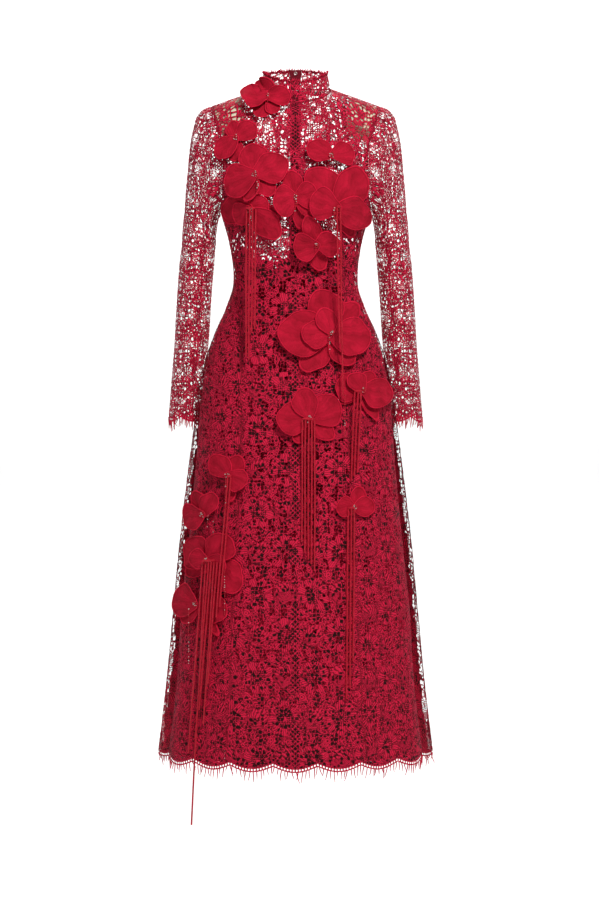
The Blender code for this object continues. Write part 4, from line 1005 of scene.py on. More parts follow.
def sleeve_rings(turn):
    """Points of the armhole and of each ring below it, at angles round the arm from its outside.
    Angles from 0 to half a circle are in front."""
    row = (1 + np.cos(turn)) / 2
    rings = [body_rim(np.sin(turn) >= 0, 1.0, row) + (0.5 * MM, 0.0, 0.0)]
    for outer_x, outer_z, inner_x, inner_z, half_depth, middle_y, dip in SLEEVE_RINGS:
        rings.append(np.stack([inner_x + (outer_x - inner_x) * row - dip * np.sin(turn) ** 2,
                               middle_y - half_depth * np.sin(turn),
                               inner_z + (outer_z - inner_z) * row], axis=-1))
    return np.array(rings)


def sleeve_form(turn, place):
    """Points of a sleeve: a smooth skin through its rings. place counts rings from the armhole."""
    rings = sleeve_rings(turn)
    k = np.clip(np.floor(place).astype(int), 0, len(rings) - 2)
    t = (place - k)[:, None, None]
    start, end = rings[k], rings[k + 1]
    before, after = rings[np.maximum(k - 1, 0)], rings[np.minimum(k + 2, len(rings) - 1)]
    bend = (2 * before - 5 * start + 4 * end - after) * t**2
    bend = bend + (3 * start - before - 3 * end + after) * t**3
    return (2 * start + (end - before) * t + bend) / 2


def sleeve_middle(z):
    """The line down the middle of a sleeve, x and y at a height."""
    table = [(-(o + i) / 2, (ox + ix) / 2, y) for ox, o, ix, i, _, y, _ in SLEEVE_RINGS]
    down, xs, ys = zip(*table)
    return np.interp(-z, down, xs), np.interp(-z, down, ys)


def sleeve_away(points):
    x, y = sleeve_middle(points[..., 2])
    high = np.maximum(points[..., 2] + 0.14, 0.0)
    return np.stack([np.abs(points[..., 0]) - x + high, points[..., 1] - y, high], axis=-1)


def crossed(away, side):
    """The same direction on a mirrored piece."""
    return lambda points: away(points * (side, 1.0, 1.0)) * (side, 1.0, 1.0)


def points_at(line, keys, wanted):
    """Points of a line at the wanted places along it, where keys are the places of its own points."""
    return np.stack([np.interp(wanted, keys, line[:, axis]) for axis in range(3)], -1)


def sleeve_piece(side_name, side, piece, low, high, cell):
    """One piece of a sleeve, between the seams at the angles low and high round the arm."""
    fine = np.linspace(low - SEAM_SPARE, high + SEAM_SPARE, 170)
    steps = np.linspace(0, len(SLEEVE_RINGS), 300)
    middle = (low + high) / 2
    walked = walk(sleeve_form(np.array([middle]), steps)[:, 0])
    count = round(walked[-1] / cell)
    place = np.interp(np.linspace(0, walked[-1], count + 1), walked, steps)
    rings = sleeve_form(fine, place)
    arcs = walk(rings, axis=1)
    arcs = arcs - np.array([np.interp(middle, fine, arc) for arc in arcs])[:, None]
    first, last = (np.array([np.interp(end, fine, arc) for arc in arcs]) for end in (low, high))
    columns = np.arange(math.floor(first.min() / cell) - 1, math.ceil(last.max() / cell) + 2) * cell
    turn = np.array([np.interp(columns, arc, fine) for arc in arcs])
    points = np.stack([points_at(ring, fine, ring_turn) for ring_turn, ring in zip(turn, rings)])
    down = place[:, None] / len(SLEEVE_RINGS)
    for at, long, deep, waves, start in SLEEVE_CREASES:
        sag = deep * np.exp(-(((down - at - 0.02 * np.sin(turn * waves)) / long) ** 2))
        sag = sag * (0.6 + 0.4 * np.cos(waves * turn + start))
        points = points - outward(points, sleeve_away) * sag[..., None]
    edge = np.minimum(columns[None, :] - first[:, None], last[:, None] - columns[None, :]) / MM
    from_top = walk(points) / MM
    above = from_top[-1:] - from_top
    across = np.broadcast_to(columns / MM, above.shape)
    points[..., 0] *= side
    border = above + scallop_depth(turn / math.tau, SCALLOPS["cuff"])
    edge = np.minimum(edge, from_top + 0.3)
    made, size, area = lace_piece(f"sleeve_{side_name}_{piece}_lace", points, crossed(sleeve_away, side),
                                  across + SLEEVE_LAYOUT, SLEEVE_DOWN - above, edge, ("sleeve",),
                                  lace_thread, border, SLEEVE_BAND)
    hang(made, size, area, f"sleeve_{side_name}_{piece}")


for side_name, side in SIDES:
    sleeve_piece(side_name, side, "top", -SLEEVE_SEAM, SLEEVE_SEAM, 1.85 * MM)
    sleeve_piece(side_name, side, "under", SLEEVE_SEAM, math.tau - SLEEVE_SEAM, 1.9 * MM)

# Eyelash edges: scalloped strips below the hems and the cuffs, bound with two cords, from which
# short cut threads hang in a fringe of uneven lashes.

STRIP_CELL = 1.4 * MM
STRIP_DEEP = EDGE_HIGH + SCALLOP_DEEP + 1.0
LASH_STEP = 6.5 * MM
LASH_LENGTHS = (9.0, 21.0)
LASH_HALF = 1.2 * MM
LASH_ROOT = 0.045  # a lash's half width at its root, for a length of 1
COLLAR_LASH_STEP = 2.3
COLLAR_LASHES = (2.2, 5.5)


def ring_quads(first, second, count):
    """Quads between two closed rings of count points, from the numbers of the rings' first points."""
    pairs = [(k, (k + 1) % count) for k in range(count)]
    return [(first + k, first + after, second + after, second + k) for k, after in pairs]


def cap(first, count):
    """One face over a closed ring of points."""
    return tuple(range(first, first + count))


def lash_shape():
    """One lash, a metre long: a thin three-sided thread that bends a little and ends in a point."""
    points, faces = [], [(0, 1, 2), (14, 13, 12)]
    for k in range(5):
        t = k / 4
        thin = LASH_ROOT * (1.0 - 0.55 * t**2)
        points += [(thin * math.cos(a) + 0.10 * t**2, thin * math.sin(a), -t)
                   for a in (0.0, math.tau / 3, math.tau * 2 / 3)]
    for k in range(4):
        faces += ring_quads(3 * k + 3, 3 * k, 3)
    made = mesh_object("lash", np.array(points), faces, lace_thread)
    for number, value in (("thread", 1.0), ("tone", 0.85)):
        add_numbers(made, number, np.full(len(points), value))
    return made


def geometry_tree(name, inputs, kinds, links):
    """Geometry nodes that end in a plain smooth mesh of one finish. kinds names the nodes before that,
    and links says which socket of which node feeds which. A named attribute's node is called by the
    attribute."""
    tree = bpy.data.node_groups.new(name, "GeometryNodeTree")
    for socket, kind in (("Geometry", "Geometry"), *inputs, ("Finish", "Material")):
        tree.interface.new_socket(socket, in_out="INPUT", socket_type="NodeSocket" + kind)
    tree.interface.new_socket("Geometry", in_out="OUTPUT", socket_type="NodeSocketGeometry")
    nodes = {"given": tree.nodes.new("NodeGroupInput"), "made": tree.nodes.new("NodeGroupOutput")}
    kinds = dict(kinds, whole="RealizeInstances", smooth="SetShadeSmooth", finish="SetMaterial")
    for key, kind in kinds.items():
        nodes[key] = tree.nodes.new("GeometryNode" + kind)
        if kind == "InputNamedAttribute":
            nodes[key].data_type = "FLOAT_VECTOR"
            nodes[key].inputs["Name"].default_value = key
    ending = (("whole", "Geometry", "smooth", "Geometry"), ("smooth", "Geometry", "finish", "Geometry"),
              ("given", "Finish", "finish", "Material"), ("finish", "Geometry", "made", "Geometry"))
    for source, out, target, into in (*links, *ending):
        tree.links.new(nodes[source].outputs[out], nodes[target].inputs[into])
    return tree, nodes


def grown(name, base, tree, settings):
    """A plain mesh from a base object and a geometry tree with its inputs set."""
    modifier = base.modifiers.new("grow", "NODES")
    modifier.node_group = tree
    for socket in tree.interface.items_tree:
        if socket.name in settings:
            modifier[socket.identifier] = settings[socket.name]
    graph = bpy.context.evaluated_depsgraph_get()
    mesh = bpy.data.meshes.new_from_object(base.evaluated_get(graph), depsgraph=graph)
    bpy.data.objects.remove(base, do_unlink=True)
    mesh.name = name
    return placed(name, mesh)


def scattered(name, places, turns, sizes, shape, material, tints=None):
    """Copies of a shape at places, each with its own turn and size."""
    base = mesh_object(name + "_points", np.array(places), [], material)
    for number, values in (("turn", turns), ("size", sizes)):
        own = base.data.attributes.new(number, "FLOAT_VECTOR", "POINT")
        own.data.foreach_set("vector", np.array(values, np.float32).ravel())
    if tints is not None:
        add_numbers(base, "tint", np.array(tints))
    return grown(name, base, scatter_nodes, {"Shape": shape, "Finish": material})


scatter_nodes, _ = geometry_tree(
    "scatter", (("Shape", "Object"),),
    {"shape": "ObjectInfo", "copies": "InstanceOnPoints", "turn": "InputNamedAttribute",
     "size": "InputNamedAttribute"},
    (("given", "Shape", "shape", "Object"), ("given", "Geometry", "copies", "Points"),
     ("shape", "Geometry", "copies", "Instance"), ("turn", "Attribute", "copies", "Rotation"),
     ("size", "Attribute", "copies", "Scale"), ("copies", "Instances", "whole", "Geometry")))
lash = lash_shape()
dice = np.random.default_rng(7)


def lashes(name, roots, lengths=LASH_LENGTHS, upwards=0.0):
    """A fringe of lashes of uneven length that hang from their roots, or stand up on them."""
    count = len(roots)
    sizes = np.full((count, 3), LASH_HALF / LASH_ROOT)
    sizes[:, 2] = dice.uniform(*lengths, count) * MM
    turns = np.stack([upwards + dice.normal(0, 0.10, count), dice.normal(0, 0.16, count),
                      dice.uniform(0, math.tau, count)], axis=1)
    made = scattered(name, roots, turns, sizes, lash, lace_thread)
    dress(made)
    return made


def edge_strip(node, line, away, scallops, closed, lace, layout):
    """A scalloped strip and its lashes, hung below a line of points along the edge of the piece above.
    layout is where its lace starts across and down, to go on from that piece."""
    walked = walk(line)
    count = round(walked[-1] / STRIP_CELL)
    along = np.linspace(0, walked[-1], count + 1)
    top = points_at(line, walked, along)
    drops = np.arange(0, STRIP_DEEP, STRIP_CELL / MM)
    points = top[None] - np.stack([0 * drops, 0 * drops, drops * MM], -1)[:, None]
    across, down = np.meshgrid((along - walked[-1] / 2) / MM, drops)
    share = across / (walked[-1] / MM) + 0.5
    border = scallop_depth(share, scallops) - down
    edge = border if closed else np.minimum(border, walked[-1] / MM / 2 - np.abs(across) + 0.5)
    strip, size, area = lace_piece(f"{node}_lace", points, away, across + layout[0], down + layout[1],
                                   edge, (lace,), lace_thread, border + 0.2)
    roots_along = np.arange(LASH_STEP / 2, walked[-1], LASH_STEP)
    roots_along = roots_along + dice.normal(0, 1.2 * MM, len(roots_along))
    roots = points_at(line, walked, roots_along)
    roots[:, 2] -= (scallop_depth(roots_along / walked[-1], scallops) - 0.8) * MM
    fringe = lashes(node.replace("edge", "lashes"), roots)
    hang(strip, size, area, node)


for face, away, above in (("front", front_away, "front_centre_lace"),
                          ("back", back_away, "back_left_lace")):
    hem = cloth(face, np.linspace(-1, 1, 500), HEM_Z[face] - ARMPIT_Z)
    edge_strip(f"hem_edge_{face}", hem, away, SCALLOPS[face], False, "skirt", (0.0, hem_down[face]))

outer_x, cuff_z, inner_x, _, half_depth, middle_y, _ = SLEEVE_RINGS[-1]
turn = np.linspace(0, math.tau, 300)
for side_name, side in SIDES:
    cuff = np.stack([side * ((outer_x + inner_x) / 2 + (outer_x - inner_x) / 2 * np.cos(turn)),
                     middle_y - half_depth * np.sin(turn), np.full(len(turn), cuff_z)], -1)
    edge_strip(f"cuff_edge_{side_name}", cuff, crossed(sleeve_away, side), SCALLOPS["cuff"], True,
               "sleeve", (SLEEVE_LAYOUT, SLEEVE_DOWN))
reach = collar_across[-1] - 2
roots_turn = np.interp(np.arange(-reach, reach, COLLAR_LASH_STEP), collar_across, collar_turns)
drop = collar_scallop(np.interp(roots_turn, collar_turns, collar_across))
lashes("collar_lashes", collar_at(roots_turn, 1 - drop / COLLAR_HIGH), COLLAR_LASHES, math.pi)
bpy.data.objects.remove(lash, do_unlink=True)

# Shoulder pads: thin felt pads in beige lining cloth, folded over each shoulder seam. They are stitched
# inside the lace along the armhole and show through it.

PAD_SHARES = (0.585, 0.960)
PAD_THICK = ((0.585, 0.79, 0.96), (2.5, 6.0, 9.0))  # by share, in millimetres
PAD_FALL = 0.275  # how far down the rows a pad's edges reach
PAD_DOWN = 2.4  # from the lace's outer face, in millimetres
PAD_MIDDLE = (0.11, 0.004, -0.13)  # the place inside the shoulder that a pad curves about


def turn_outwards(made):
    """Turns all faces of a closed piece outwards."""
    edit = bmesh.new()
    edit.from_mesh(made.data)
    bmesh.ops.recalc_face_normals(edit, faces=edit.faces)
    edit.to_mesh(made.data)
    edit.free()


def shell(name, points, away, depths, material):
    """A closed piece under a grid of places on the lace, between two depths in millimetres."""
    normals = outward(points, away)
    sheets = [points - normals * (np.asarray(deep) * MM)[..., None] for deep in depths]
    rows, columns = points.shape[:2]
    ids = np.arange(rows * columns).reshape(rows, columns)
    a, b, c, d = (i.ravel() for i in (ids[:-1, :-1], ids[:-1, 1:], ids[1:, 1:], ids[1:, :-1]))
    rim = np.concatenate([ids[0], ids[1:, -1], ids[-1, -2::-1], ids[-2:0:-1, 0]])
    after, lower = np.roll(rim, -1), rows * columns
    faces = [np.stack([a, b, c, d], -1), np.stack([d, c, b, a], -1) + lower,
             np.stack([after, rim, rim + lower, after + lower], -1)]
    made = mesh_object(name, np.concatenate(sheets).reshape(-1, 3), np.concatenate(faces), material)
    turn_outwards(made)
    return made


LINING_DARK, LINING_LIGHT = (0.80, 0.72, 0.50, 1.0), (0.98, 0.92, 0.70, 1.0)


def pad_material():
    """Beige lining cloth: a fine plain weave with faint blotches."""
    material, shade = drafted("beige lining")
    place = shade.place()
    weave = shade.noise(place, 900.0, 2.0)
    light = weave * 0.5 + shade.noise(place, 60.0, 2.0) * 0.5
    return finish_material(
        material, Base_Color=light.ramp(0.2, 0.8).blend(LINING_DARK, LINING_LIGHT), Roughness=0.85,
        Specular_IOR_Level=0.2, Normal=shade.bump(weave, 0.3 * MM))


beige_lining = pad_material()
for side_name, side in SIDES:
    fold, share = np.meshgrid(np.linspace(-1, 1, 49), np.linspace(*PAD_SHARES, 22), indexing="ij")
    inner = (share - PAD_SHARES[0]) / (PAD_SHARES[1] - PAD_SHARES[0])
    fold = fold * (0.70 + 0.30 * np.sqrt(np.clip(inner * 2.5, 0, 1)))
    row = 1 - PAD_FALL * np.abs(fold)
    points = body_rim(fold < 0, side * share, row)
    thick = np.interp(share, *PAD_THICK) * np.sqrt(np.clip(1.03 - (row - 1) ** 2 / PAD_FALL**2, 0, 1))
    quilt = 0.25 * np.cos(fold * 22) * np.cos(inner * 9)
    pad = shell(f"shoulder_pad_{side_name}_cover", points,
                lambda places: places - (PAD_MIDDLE[0] * side, *PAD_MIDDLE[1:]),
                (PAD_DOWN - quilt, PAD_DOWN + thick), beige_lining)
    dress(pad, f"shoulder_pad_{side_name}")

# Back zip: woven tapes inside the centre back seam and the collar, coil teeth between the two backs,
# and a lacquered metal slider with a hinged pull. The slider stays where it is, at the top.

TAPE_SHARES = (0.0004, 0.062)
TAPE_WALL = 1.0
TAPE_DARK, TAPE_LIGHT = (0.11, 0.002, 0.009, 1.0), (0.34, 0.008, 0.030, 1.0)
COLLAR_TAPE_HALF = 12.5
COLLAR_TAPE_SPAN = (0.02, 0.985)  # shares of the collar's height
COLLAR_TAPE_DOWN = (1.6, 2.5)  # of its two faces, from the lace's outer face, in millimetres


def tape_material():
    """Woven tape: a fine herringbone of matte thread with a denser stripe along its edges."""
    material, shade = drafted("woven tape")
    place = shade.place()
    across, _, up = shade.apart(place)
    twill = shade.maths("SINE", (up + shade.maths("PINGPONG", across, 0.0025)) * 5200.0)
    light = twill * 0.3 + shade.noise(place, 1200.0, 2.0) * 0.5 + 0.25
    return finish_material(
        material, Base_Color=light.ramp(0.0, 1.0).blend(TAPE_DARK, TAPE_LIGHT), Roughness=0.7,
        Specular_IOR_Level=0.25, Normal=shade.bump(twill, 0.15 * MM))


def metal_material(name, plain, worn):
    """Metal with fine scratches and rubbed patches under a thin clear lacquer."""
    material, shade = drafted(name)
    place = shade.place()
    rubbed = shade.noise(place, 2600.0, 3.0, 0.7).ramp(0.56, 0.70)
    return finish_material(
        material, Base_Color=rubbed.blend(plain, worn),
        Metallic=0.75, Roughness=rubbed * 0.2 + 0.28, Coat_Weight=0.6, Coat_Roughness=0.12,
        Normal=shade.bump(shade.noise(place, 3500.0, 2.0), 0.03 * MM))


woven_tape = tape_material()
lacquered_metal = metal_material("lacquered metal", (0.22, 0.006, 0.016, 1.0), (0.42, 0.16, 0.15, 1.0))
pale_metal = metal_material("pale metal", (0.62, 0.50, 0.48, 1.0), (0.80, 0.74, 0.72, 1.0))
rows = np.concatenate([np.linspace(1.0, 0, 70)[:-1], np.linspace(0, ZIP_END_Z - ARMPIT_Z, 60)])
for side_name, side in SIDES:
    share, row = np.meshgrid(np.linspace(*TAPE_SHARES, 7), rows)
    tape = shell(f"zip_tape_{side_name}_cloth", cloth("back", side * share, row), back_away,
                 (PAD_DOWN, PAD_DOWN + TAPE_WALL), woven_tape)
    dress(tape, f"zip_tape_{side_name}")
height, turn = np.meshgrid(np.linspace(*COLLAR_TAPE_SPAN, 24), np.linspace(-1, 1, 15), indexing="ij")
neck_round = COLLAR_TOP_HALF * math.pi / 2 / MM
turned = math.pi - np.abs(turn) * COLLAR_TAPE_HALF / neck_round * math.pi / 2
points = collar_at(np.where(turn < 0, -turned, turned), height)
dress(shell("zip_tape_collar", points, collar_away, COLLAR_TAPE_DOWN, woven_tape))

# One coil tooth, a small rounded bar across the opening: its profile in y and z
TOOTH_PROFILE = ((0.30, 0.5), (0.5, 0.2), (0.5, -0.2), (0.30, -0.5),
                 (-0.30, -0.5), (-0.5, -0.2), (-0.5, 0.2), (-0.30, 0.5))
TOOTH_HALF = 0.85
TOOTH_SIZE = (1.9 * MM, 1.3 * MM, 1.15 * MM)
TOOTH_STEP = 1.6 * MM
TEETH_DOWN, TEETH_APART = 1.1 * MM, 0.45 * MM
count = len(TOOTH_PROFILE)
points = np.array([(x, y, z) for x in (-TOOTH_HALF, TOOTH_HALF) for y, z in TOOTH_PROFILE])
faces = ring_quads(0, count, count) + [cap(0, count)[::-1], cap(count, count)]
tooth = mesh_object("tooth", points, faces, lacquered_metal)
collar_line = collar_at(np.full(60, math.pi), np.linspace(0.80, 0.0, 60))
seam_line = np.concatenate([collar_line, cloth("back", np.zeros(len(rows) - 1), rows[1:])])
walked = walk(seam_line)
along = np.arange(0, walked[-1], TOOTH_STEP)
places = points_at(seam_line, walked, along) - (0, TEETH_DOWN, 0)
places[:, 0] = np.where(np.arange(len(along)) % 2, TEETH_APART, -TEETH_APART)
teeth = scattered("zip_teeth", places, [(0, 0, 0)] * len(along), [TOOTH_SIZE] * len(along), tooth,
                  lacquered_metal)
bpy.data.objects.remove(tooth, do_unlink=True)
dress(teeth)

# The eye of the collar's hook, a wire ring on the inner face of the tape, in millimetres
EYE_RADIUS, EYE_WIRE, EYE_DOWN = 2.6, 1.0, 3.8
EYE_HEIGHT = 0.80  # share of the collar's height
EYE_SIDES, WIRE_SIDES = 28, 8
turn, wire = np.meshgrid(np.linspace(0, math.tau, EYE_SIDES, endpoint=False),
                         np.linspace(0, math.tau, WIRE_SIDES, endpoint=False), indexing="ij")
reach = EYE_RADIUS + EYE_WIRE * np.cos(wire)
points = np.stack([reach * np.cos(turn), EYE_WIRE * np.sin(wire), reach * np.sin(turn)], -1)
points = points * MM + collar_at(np.array([math.pi]), np.array([EYE_HEIGHT]))[0] - (0, EYE_DOWN * MM, 0)
faces = []
for k in range(EYE_SIDES):
    faces += ring_quads(WIRE_SIDES * k, WIRE_SIDES * ((k + 1) % EYE_SIDES), WIRE_SIDES)
eye = mesh_object("collar_eye", points.reshape(-1, 3), faces, pale_metal)
dress(eye)

WELD = 0.01 * MM
METAL_ROUND = 0.28 * MM


def sculpted(name, edit, material):
    """An object from a shape that bmesh has worked on."""
    mesh = bpy.data.meshes.new(name)
    edit.to_mesh(mesh)
    edit.free()
    mesh.materials.append(material)
    return placed(name, mesh)


for node, body in (("zip_slider", "tunic"), ("zip_pull", "zip_pull")):
    source = bpy.data.objects[node]
    edit = bmesh.new()
    edit.from_mesh(source.data)
    bmesh.ops.transform(edit, matrix=source.matrix_world, verts=edit.verts)
    bmesh.ops.remove_doubles(edit, verts=edit.verts, dist=WELD)
    bmesh.ops.dissolve_limit(edit, angle_limit=0.05, verts=edit.verts, edges=edit.edges)
    bmesh.ops.bevel(edit, geom=edit.edges, offset=METAL_ROUND, segments=3, profile=0.5, affect="EDGES",
                    clamp_overlap=True)
    bmesh.ops.triangulate(edit, faces=edit.faces)
    dress(sculpted(node + "_metal", edit, lacquered_metal), node, body)

# Cloth flowers: each petal is two layers of matte crepe, stitched round its edge, turned out so that
# the edge is a soft roll, and creased towards its root. The petals overlap and are sewn on at the
# flower's middle, where a small covered button carries the beads.

# In millimetres: how high the lowest petal lies on the lace, how much higher each next level lies, a
# petal's thickness, and how far it starts behind the flower's middle
PETAL_BASE, PETAL_STEP, PETAL_WALL, PETAL_ROOT = 4.0, 2.6, 1.6, 4.0
PETAL_BRIDGE = 12 * MM
PETAL_TAPER = 0.28
LEAST_DROP = 4 * MM  # keeps petals off the rounding of the top edge
SLOPE_STEP = 2 * MM
HUB_RADIUS, HUB_TOP, HUB_SIDES = 3.2, 1.0, 14
PETAL_ROUND = 44
# From the rim inwards: distance in millimetres, and height above the petal's middle layer
PETAL_RIM = ((0.0, 1.2), (0.35, 1.9), (1.1, 2.2), (1.9, 1.8), (2.5, 1.1), (3.2, 1.3), (5.0, 1.1))
SEAM_HIGH = 1.1  # the height at which the edge's stitches press in
PETAL_FLAT = 0.7
PETAL_INNER = (0.62, 0.36, 0.14)
CREPE_DARK = (0.33, 0.0050, 0.018, 1.0)
CREPE_LIGHT = (0.86, 0.013, 0.056, 1.0)
# Flower: x, z of its middle in metres, then its petals: angle from +x, length, width, level
FLOWERS = {
    "collar": (-0.053, -0.026, (
        (88, 50, 35, 3), (14, 47, 46, 4), (173, 46, 44, 5), (238, 38, 36, 1), (302, 34, 28, 2))),
    "shoulder": (-0.110, -0.101, (
        (105, 35, 30, 1), (33, 44, 40, 2), (226, 46, 40, 3), (266, 44, 30, 0))),
    "left_bust": (-0.072, -0.178, (
        (96, 62, 50, 3), (24, 61, 58, 4), (196, 51, 60, 5), (256, 46, 26, 3), (312, 46, 38, 2))),
    "left_low": (-0.082, -0.237, (
        (172, 53, 48, 1), (202, 30, 40, 2), (22, 33, 38, 1), (340, 52, 34, 0), (318, 72, 44, 2))),
    "centre_bust": (0.001, -0.220, (
        (102, 54, 36, 1), (194, 42, 52, 5), (14, 42, 46, 3), (318, 46, 24, 2), (280, 54, 24, 0))),
    "right_high": (0.066, -0.141, (
        (156, 47, 44, 4), (14, 40, 44, 5))),
    "right_bust": (0.073, -0.236, (
        (120, 84, 60, 1), (57, 88, 54, 2), (165, 46, 50, 5), (350, 58, 56, 3), (305, 58, 26, 0))),
    "centre_low": (0.038, -0.303, (
        (106, 55, 34, 3), (12, 38, 48, 4), (190, 42, 52, 5), (278, 50, 30, 1))),
    "waist": (0.064, -0.474, (
        (181, 92, 86, 2), (101, 86, 62, 1), (50, 76, 48, 0), (349, 68, 70, 3), (186, 52, 52, 4),
        (112, 48, 38, 5), (236, 84, 50, 0), (302, 70, 42, 1))),
    "right_hip": (0.121, -0.581, (
        (166, 48, 54, 1), (126, 38, 34, 4), (62, 40, 34, 2), (351, 52, 56, 3), (300, 62, 24, 0),
        (206, 48, 24, 0))),
    "centre_hip": (0.025, -0.634, (
        (181, 57, 62, 2), (104, 57, 46, 3), (26, 64, 60, 1), (320, 58, 36, 0), (240, 52, 30, 0))),
    "right_low": (0.108, -0.801, (
        (176, 33, 38, 1), (70, 42, 28, 0), (4, 37, 38, 1))),
    "left_first": (-0.122, -0.741, (
        (130, 45, 42, 2), (56, 42, 34, 1), (334, 38, 42, 3), (275, 48, 22, 0))),
    "left_second": (-0.165, -0.816, (
        (66, 46, 34, 3), (112, 46, 32, 2), (196, 39, 48, 4))),
    "left_third": (-0.158, -0.900, (
        (154, 52, 64, 1), (182, 30, 38, 4), (214, 55, 30, 0), (46, 60, 52, 2), (330, 38, 42, 4),
        (318, 76, 60, 0))),
    "left_fourth": (-0.180, -0.985, (
        (170, 44, 62, 3), (232, 44, 32, 2), (350, 56, 58, 1), (306, 66, 20, 0))),
}


def crepe_material():
    """Matte crepe: a fine pebbled grain, and soft creases that fan out from the petal's root, painted
    lighter and darker along them as light and shade. The roll round the edge is painted lighter as a
    highlight, and the line where its stitches press in is painted darker as shade."""
    material, shade = drafted("crepe")
    place = shade.place()
    grain = shade.noise(place, 2200.0, 2.0)
    broad = shade.noise(place, 45.0, 3.0)
    fan = shade.number("fan")
    crease = shade.maths("SINE", fan * 15.0 + broad * 9.0) * shade.number("fade")
    fine = shade.maths("SINE", fan * 46.0 + broad * 20.0) * shade.number("fade")
    roll = shade.number("roll")
    # Painted light and shade: lighter and darker along the creases, lighter on the edge's roll, darker at
    # its stitch line
    light = broad * 0.55 + grain * 0.35 + crease * 0.05 + fine * 0.03 + roll * 0.26
    return finish_material(
        material, Base_Color=light.ramp(0.1, 1.0).blend(CREPE_DARK, CREPE_LIGHT), Roughness=0.88,
        Specular_IOR_Level=0.12, Sheen_Weight=0.06, Sheen_Tint=(1.0, 0.2, 0.22, 1.0),
        Normal=shade.bump(crease * 0.26 + fine * 0.12 + grain * 0.35 + broad * 1.8, 0.9 * MM))


def off_front(x, z, out):
    """Points a distance in millimetres out from the front cloth at places seen from the front, and
    the cloth's normals there. Petals bridge its narrow hollows."""
    def depth(at_x, at_z):
        total = 0.0
        for near_x in (at_x - PETAL_BRIDGE, at_x, at_x + PETAL_BRIDGE):
            for near_z in (at_z - PETAL_BRIDGE, at_z, at_z + PETAL_BRIDGE):
                section = smooth_row(SECTIONS["front"], near_z)
                total = total + cloth_y("front", near_x, near_z, section, LEAST_DROP)
        return total / 9

    slope_x = (depth(x + SLOPE_STEP, z) - depth(x - SLOPE_STEP, z)) / (2 * SLOPE_STEP)
    slope_z = (depth(x, z + SLOPE_STEP) - depth(x, z - SLOPE_STEP)) / (2 * SLOPE_STEP)
    normals = np.stack([slope_x, -np.ones_like(slope_x), slope_z], -1)
    normals /= np.linalg.norm(normals, axis=-1, keepdims=True)
    return np.stack([x, depth(x, z), z], -1) + normals * (out * MM)[..., None], normals


def waved(flower, x, z, level):
    """How the layers of a flower rise and fall together, in millimetres, more towards its outside."""
    middle_x, middle_z, _ = FLOWERS[flower]
    reach = np.hypot(x - middle_x, z - middle_z) / MM
    phase = 40 * middle_x + 25 * middle_z
    roll = np.sin((x - middle_x) / MM / 7.5 + phase * 3) * np.cos((z - middle_z) / MM / 9.0 + phase)
    return 1.9 * roll * np.clip(reach / 18 - 0.2, 0, 1) + (0.35 + 0.22 * level) * (reach / 38) ** 2


def petal_places(flower, petal, inset):
    """Places round a petal at a share of its size, as seen from the front, and how they lie on it."""
    middle_x, middle_z, _ = FLOWERS[flower]
    angle, length, width, _ = petal
    turn = math.radians(angle)
    round_it = np.linspace(0, math.tau, PETAL_ROUND, endpoint=False)
    ruffle = 1 + 0.042 * np.sin(3 * round_it + angle) + 0.014 * np.sin(7 * round_it + 2 * angle)
    ruffle = ruffle + 0.050 * np.cos(4 * round_it + 0.4 * np.sin(angle))
    inset = inset * ruffle
    along = -PETAL_ROOT + (length + PETAL_ROOT) / 2 * (1 - np.cos(round_it) * inset)
    across = width / 2 * inset * np.sin(round_it) * (1 - PETAL_TAPER * np.cos(round_it))
    x = middle_x + (along * math.cos(turn) - across * math.sin(turn)) * MM
    z = middle_z + (along * math.sin(turn) + across * math.cos(turn)) * MM
    fan = np.arctan2(across, along + 14.0)
    return x, z, fan, np.clip((along - 2) / 12, 0, 1)


def petal_piece(flower, petal):
    """Points, faces and numbers of one petal, its upper layer from the rim inwards and its under layer."""
    _, length, width, level = petal
    half = min(length + PETAL_ROOT, width) / 2
    rings = [(1 - rim / half, high) for rim, high in PETAL_RIM if rim < 0.6 * half]
    rings += [(rings[-1][0] * share, PETAL_FLAT) for share in PETAL_INNER]
    out = PETAL_BASE + level * PETAL_STEP + PETAL_WALL / 2
    points, numbers = [], []

    def lay_ring(inset, high, roll):
        x, z, fan, fade = petal_places(flower, petal, inset)
        points.append(off_front(x, z, out + high + waved(flower, x, z, level))[0])
        numbers.append(np.stack([fan, fade, np.full(PETAL_ROUND, roll)], -1))

    for inset, high in rings:
        # roll marks the rim painted lighter as a highlight, and the stitch line painted darker as shade
        roll = 1.0 if inset > 1 - 1.5 / half else 0.0
        stitched = high == SEAM_HIGH and inset > 1 - 3 / half
        lay_ring(inset, high, roll - 0.8 if stitched else roll)
    under_ring = 5 if len(rings) > 8 else 3
    for inset in (rings[2][0], rings[under_ring][0], 0.3):
        lay_ring(inset, -PETAL_WALL / 2, 0.0)
    top = len(rings)
    starts = [PETAL_ROUND * ring for ring in range(top + 3)]
    faces = []
    for ring in range(top - 1):
        faces += ring_quads(starts[ring], starts[ring + 1], PETAL_ROUND)
    for inner, outer in ((top, 0), (top + 1, top), (top + 2, top + 1)):
        faces += ring_quads(starts[inner], starts[outer], PETAL_ROUND)
    faces += [cap(starts[top - 1], PETAL_ROUND), cap(starts[top + 2], PETAL_ROUND)[::-1]]
    return np.concatenate(points), faces, np.concatenate(numbers)


def hub_out(flower):
    """How far the top of a flower's middle stands out from the cloth."""
    return PETAL_BASE + max(petal[3] for petal in FLOWERS[flower][2]) * PETAL_STEP + PETAL_WALL + HUB_TOP


